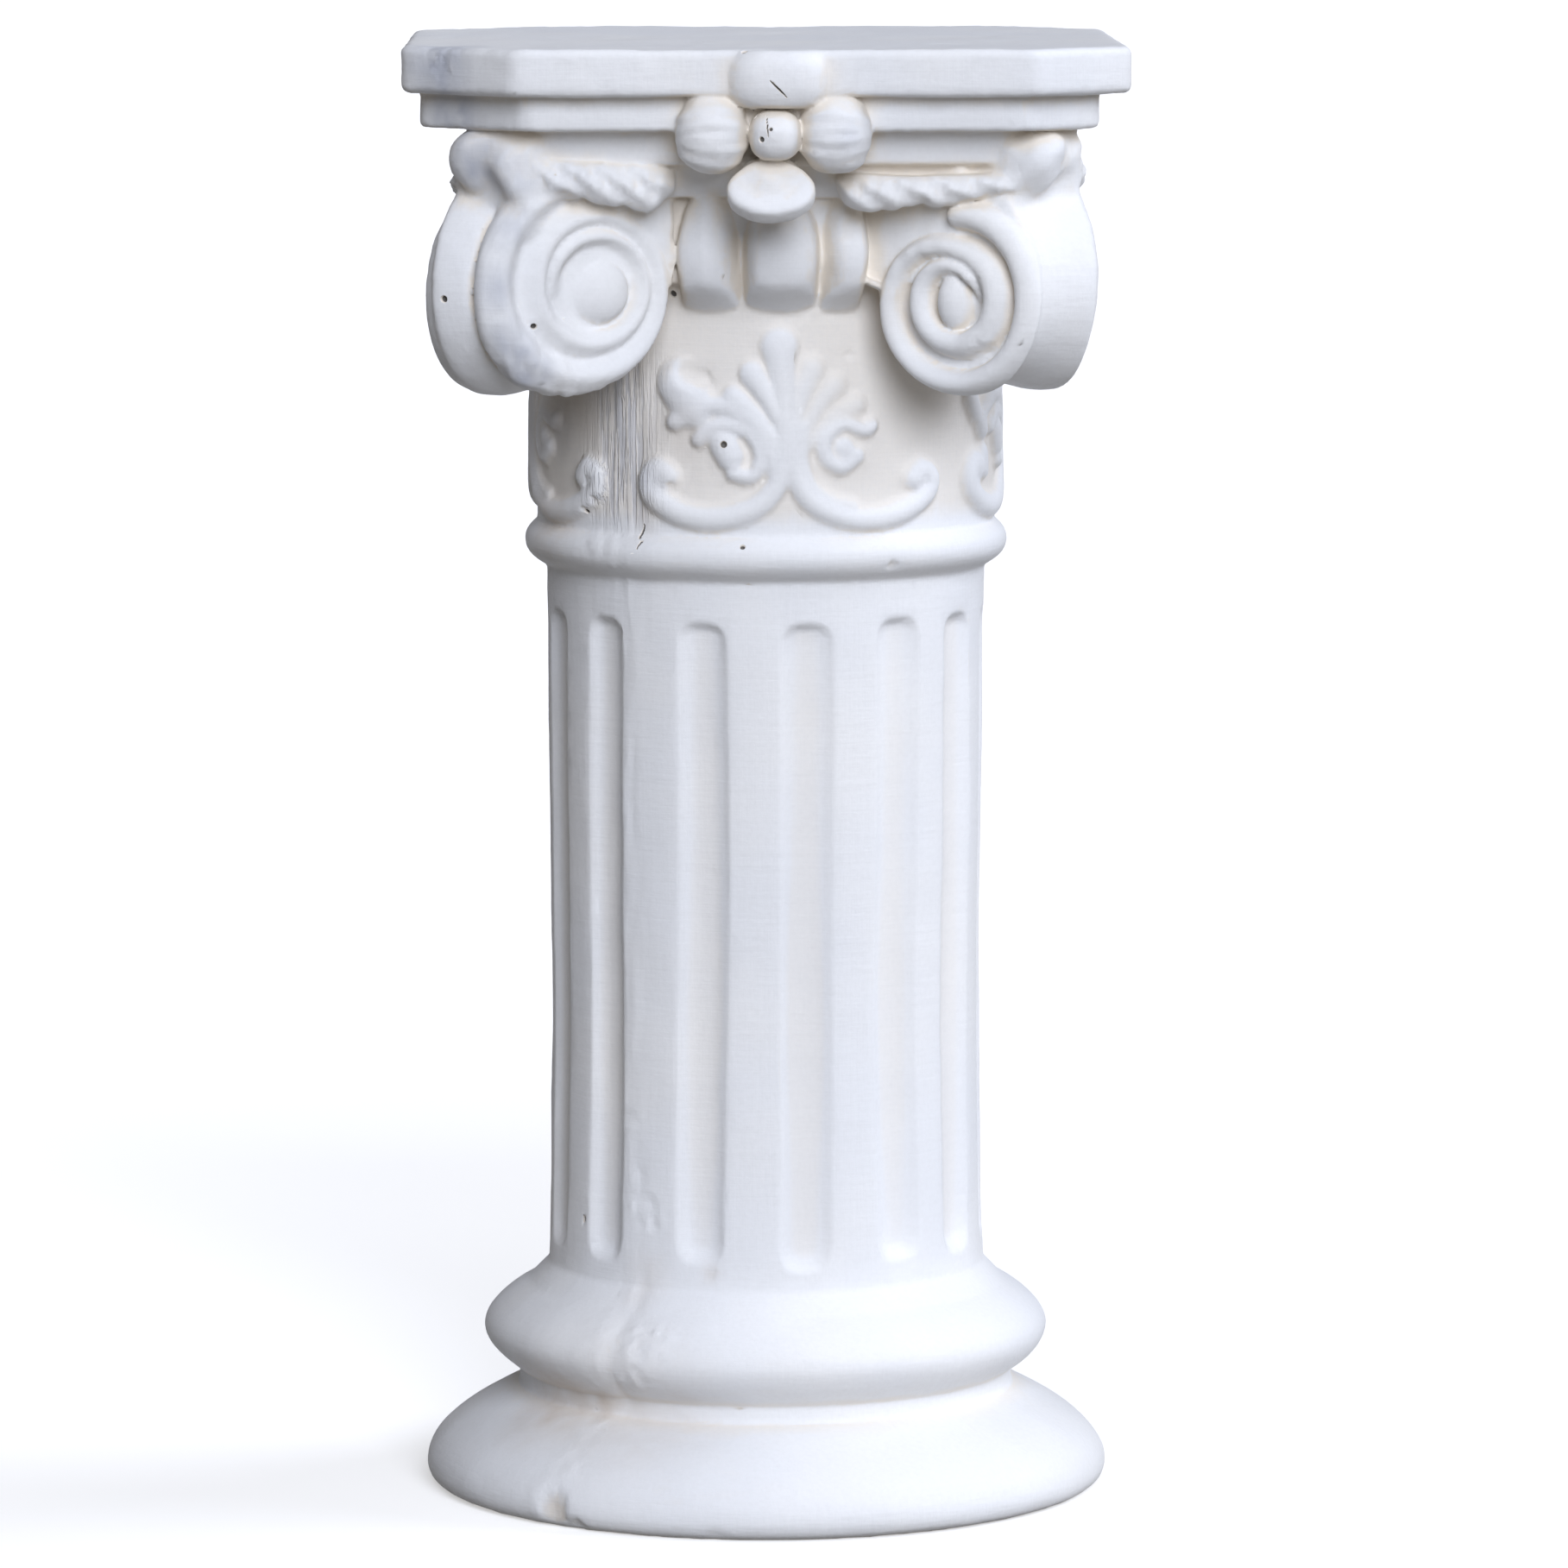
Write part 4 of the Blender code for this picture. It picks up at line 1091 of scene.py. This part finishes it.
def mixed(tree, factor, first, second):
    """A colour mixed from two, each a colour or a socket."""
    mix = new_node(tree, "ShaderNodeMix", data_type="RGBA")
    tree.links.new(factor, mix.inputs["Factor"])
    for name, value in (("A", first), ("B", second)):
        socket = next(s for s in mix.inputs if s.name == name and s.type == "RGBA")
        if isinstance(value, tuple):
            socket.default_value = value
        else:
            tree.links.new(value, socket)
    return next(s for s in mix.outputs if s.type == "RGBA")


def ranged(tree, value, low, high, to_low=0.0, to_high=1.0):
    node = new_node(tree, "ShaderNodeMapRange", interpolation_type="SMOOTHSTEP")
    tree.links.new(value, node.inputs["Value"])
    for name, number in (("From Min", low), ("From Max", high), ("To Min", to_low), ("To Max", to_high)):
        node.inputs[name].default_value = number
    return node.outputs["Result"]


def multiplied(tree, first, second):
    node = new_node(tree, "ShaderNodeMath", operation="MULTIPLY")
    for socket, value in zip(node.inputs, (first, second)):
        tree.links.new(value, socket)
    return node.outputs["Value"]


def bumped(tree, height, distance, strength, under=None):
    bump = new_node(tree, "ShaderNodeBump")
    bump.inputs["Distance"].default_value = distance
    bump.inputs["Strength"].default_value = strength
    tree.links.new(height, bump.inputs["Height"])
    if under is not None:
        tree.links.new(under, bump.inputs["Normal"])
    return bump.outputs["Normal"]


def plaster():
    """White painted plaster with painted shade: cream in its hollows and dark in its pits, with brush
    streaks and fine grain.
    """
    material = bpy.data.materials.new("plaster")
    material.use_nodes = True
    tree = material.node_tree
    shader = tree.nodes["Principled BSDF"]
    coordinates = new_node(tree, "ShaderNodeTexCoord").outputs["Object"]
    hollow = new_node(tree, "ShaderNodeAttribute", attribute_name="hollow").outputs["Fac"]
    cloud = scaled_noise(tree, coordinates, 9.0, (1, 1, 1), 3.0, 0.5)
    fine = scaled_noise(tree, coordinates, 420.0, (1, 1, 1), 4.0, 0.6)
    streak = scaled_noise(tree, coordinates, 230.0, (1, 1, 0.09), 3.0, 0.6)
    across = scaled_noise(tree, coordinates, 260.0, (0.10, 0.10, 1), 3.0, 0.6)
    white = mixed(tree, ranged(tree, cloud, 0.35, 0.7), COOL_WHITE, WHITE)
    # Painted shade: cream in the hollows, in the flutes and on the neck's ground
    hollow_shaded = mixed(tree, ranged(tree, hollow, 0.12, 0.60, 0.0, 0.85), white, SHADE_CREAM)
    tint = mixed(tree, ranged(tree, fine, 0.35, 0.75, 0.0, 0.18), hollow_shaded, GRAIN_GREY)
    # Grey painted shade
    grey_shade = new_node(tree, "ShaderNodeAttribute", attribute_name="grey_shade").outputs["Fac"]
    tint = mixed(tree, grey_shade, tint, SHADE_AND_SCRATCH_GREY)
    # Brown grime, and painted shade in the left scotia and under the left volute
    grime_and_shade = new_node(tree, "ShaderNodeAttribute", attribute_name="grime_and_shade").outputs["Fac"]
    tint = mixed(tree, grime_and_shade, tint, GRIME_AND_SHADE_COLOUR)
    scratch = new_node(tree, "ShaderNodeAttribute", attribute_name="scratch").outputs["Fac"]
    lines = scaled_noise(tree, coordinates, 520.0, (1, 1, 0.05), 3.0, 0.65)
    scored = multiplied(tree, scratch, ranged(tree, lines, 0.42, 0.60))
    tint = mixed(tree, ranged(tree, scored, 0.0, 1.0, 0.0, 0.55), tint, SHADE_AND_SCRATCH_GREY)
    # Painted shade: dark in the pits and cracks
    pit_shaded = mixed(tree, ranged(tree, hollow, 1.1, 1.9, 0.0, 0.95), tint, PIT_SHADE)
    tree.links.new(pit_shaded, shader.inputs["Base Color"])
    rough = ranged(tree, fine, 0.3, 0.7, 0.62, 0.80)
    tree.links.new(rough, shader.inputs["Roughness"])
    shader.inputs["Specular IOR Level"].default_value = 0.35
    normal = bumped(tree, streak, 0.0005, 0.35)
    normal = bumped(tree, across, 0.0006, 0.40, normal)
    normal = bumped(tree, fine, 0.0003, 0.30, normal)
    normal = bumped(tree, scored, -0.0008, 0.8, normal)
    tree.links.new(normal, shader.inputs["Normal"])
    return material


FLOOR_HALF = 40.0
FLOOR_GAP = 0.0002
FLOOR_GLOW = 0.40


def pale_floor():
    material = bpy.data.materials.new("pale_floor")
    material.use_nodes = True
    shader = material.node_tree.nodes["Principled BSDF"]
    shader.inputs["Base Color"].default_value = (0.92, 0.92, 0.92, 1)
    shader.inputs["Roughness"].default_value = 0.9
    shader.inputs["Specular IOR Level"].default_value = 0.0
    shader.inputs["Emission Color"].default_value = (1, 1, 1, 1)
    shader.inputs["Emission Strength"].default_value = FLOOR_GLOW
    return material


def floor():
    mesh = bpy.data.meshes.new("floor")
    half = FLOOR_HALF
    corners = [(-half, -half, 0), (half, -half, 0), (half, half, 0), (-half, half, 0)]
    mesh.from_pydata(corners, [], [(0, 1, 2, 3)])
    obj = bpy.data.objects.new("floor", mesh)
    obj.location.z = LOW.z - FLOOR_GAP
    mesh.materials.append(pale_floor())
    obj.visible_diffuse = False
    obj.visible_shadow = False
    bpy.context.scene.collection.objects.link(obj)


# Camera and light

CAMERA_DISTANCE = 4.2
CAMERA_HEIGHT = 0.8386
TARGET_HEIGHT = 0.3395
SIDE_SHIFT = 0.00877
YAW = math.radians(-1.0)
FOCAL_PIXELS = 10130.66
IMAGE_SIZE = 1817
SENSOR = 36.0

# The lights: name, azimuth, height and width in degrees, strength and colour
LIGHTS = (
    ("right_light", 98, 27, 40, 1.97, (0.84, 0.885, 1.0)),
    ("front_light", 10, 25, 34, 2.74, (0.86, 0.90, 1.0)),
    ("left_light", -50, 55, 40, 0.40, (0.88, 0.90, 1.0)),
    ("floor_light", 30, -28, 80, 0.22, (1.0, 0.97, 0.97)),
)
AMBIENT_COLOUR = (1.0, 0.94, 0.88, 1)
AMBIENT_STRENGTH = 0.10


def camera():
    turn = Matrix.Rotation(YAW, 3, "Z")
    place = turn @ Vector((SIDE_SHIFT, -CAMERA_DISTANCE, CAMERA_HEIGHT))
    target = turn @ Vector((SIDE_SHIFT, 0, TARGET_HEIGHT))
    data = bpy.data.cameras.new("camera")
    data.sensor_width = SENSOR
    data.lens = FOCAL_PIXELS * SENSOR / IMAGE_SIZE
    data.clip_end = 100
    obj = bpy.data.objects.new("camera", data)
    obj.location = place
    obj.rotation_euler = (target - place).to_track_quat("-Z", "Y").to_euler()
    bpy.context.scene.collection.objects.link(obj)
    bpy.context.scene.camera = obj


def soft_light(name, azimuth, elevation, angle, strength, colour):
    """A broad, even light from an azimuth, counted from the front to the right, and a height in degrees."""
    data = bpy.data.lights.new(name, "SUN")
    data.angle = math.radians(angle)
    data.energy = strength
    data.color = colour
    obj = bpy.data.objects.new(name, data)
    obj.rotation_euler = (math.radians(90 - elevation), 0, math.radians(azimuth))
    bpy.context.scene.collection.objects.link(obj)


def studio():
    world = bpy.data.worlds.new("studio")
    world.use_nodes = True
    background = world.node_tree.nodes["Background"]
    background.inputs["Color"].default_value = AMBIENT_COLOUR
    background.inputs["Strength"].default_value = AMBIENT_STRENGTH
    bpy.context.scene.world = world
    for settings in LIGHTS:
        soft_light(*settings)
    bpy.context.scene.view_settings.view_transform = "Standard"


def main():
    pedestal = casting()
    pedestal.data.materials.clear()
    pedestal.data.materials.append(plaster())
    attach(pedestal, "root")
    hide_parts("pedestal")
    floor()
    camera()
    studio()


main()
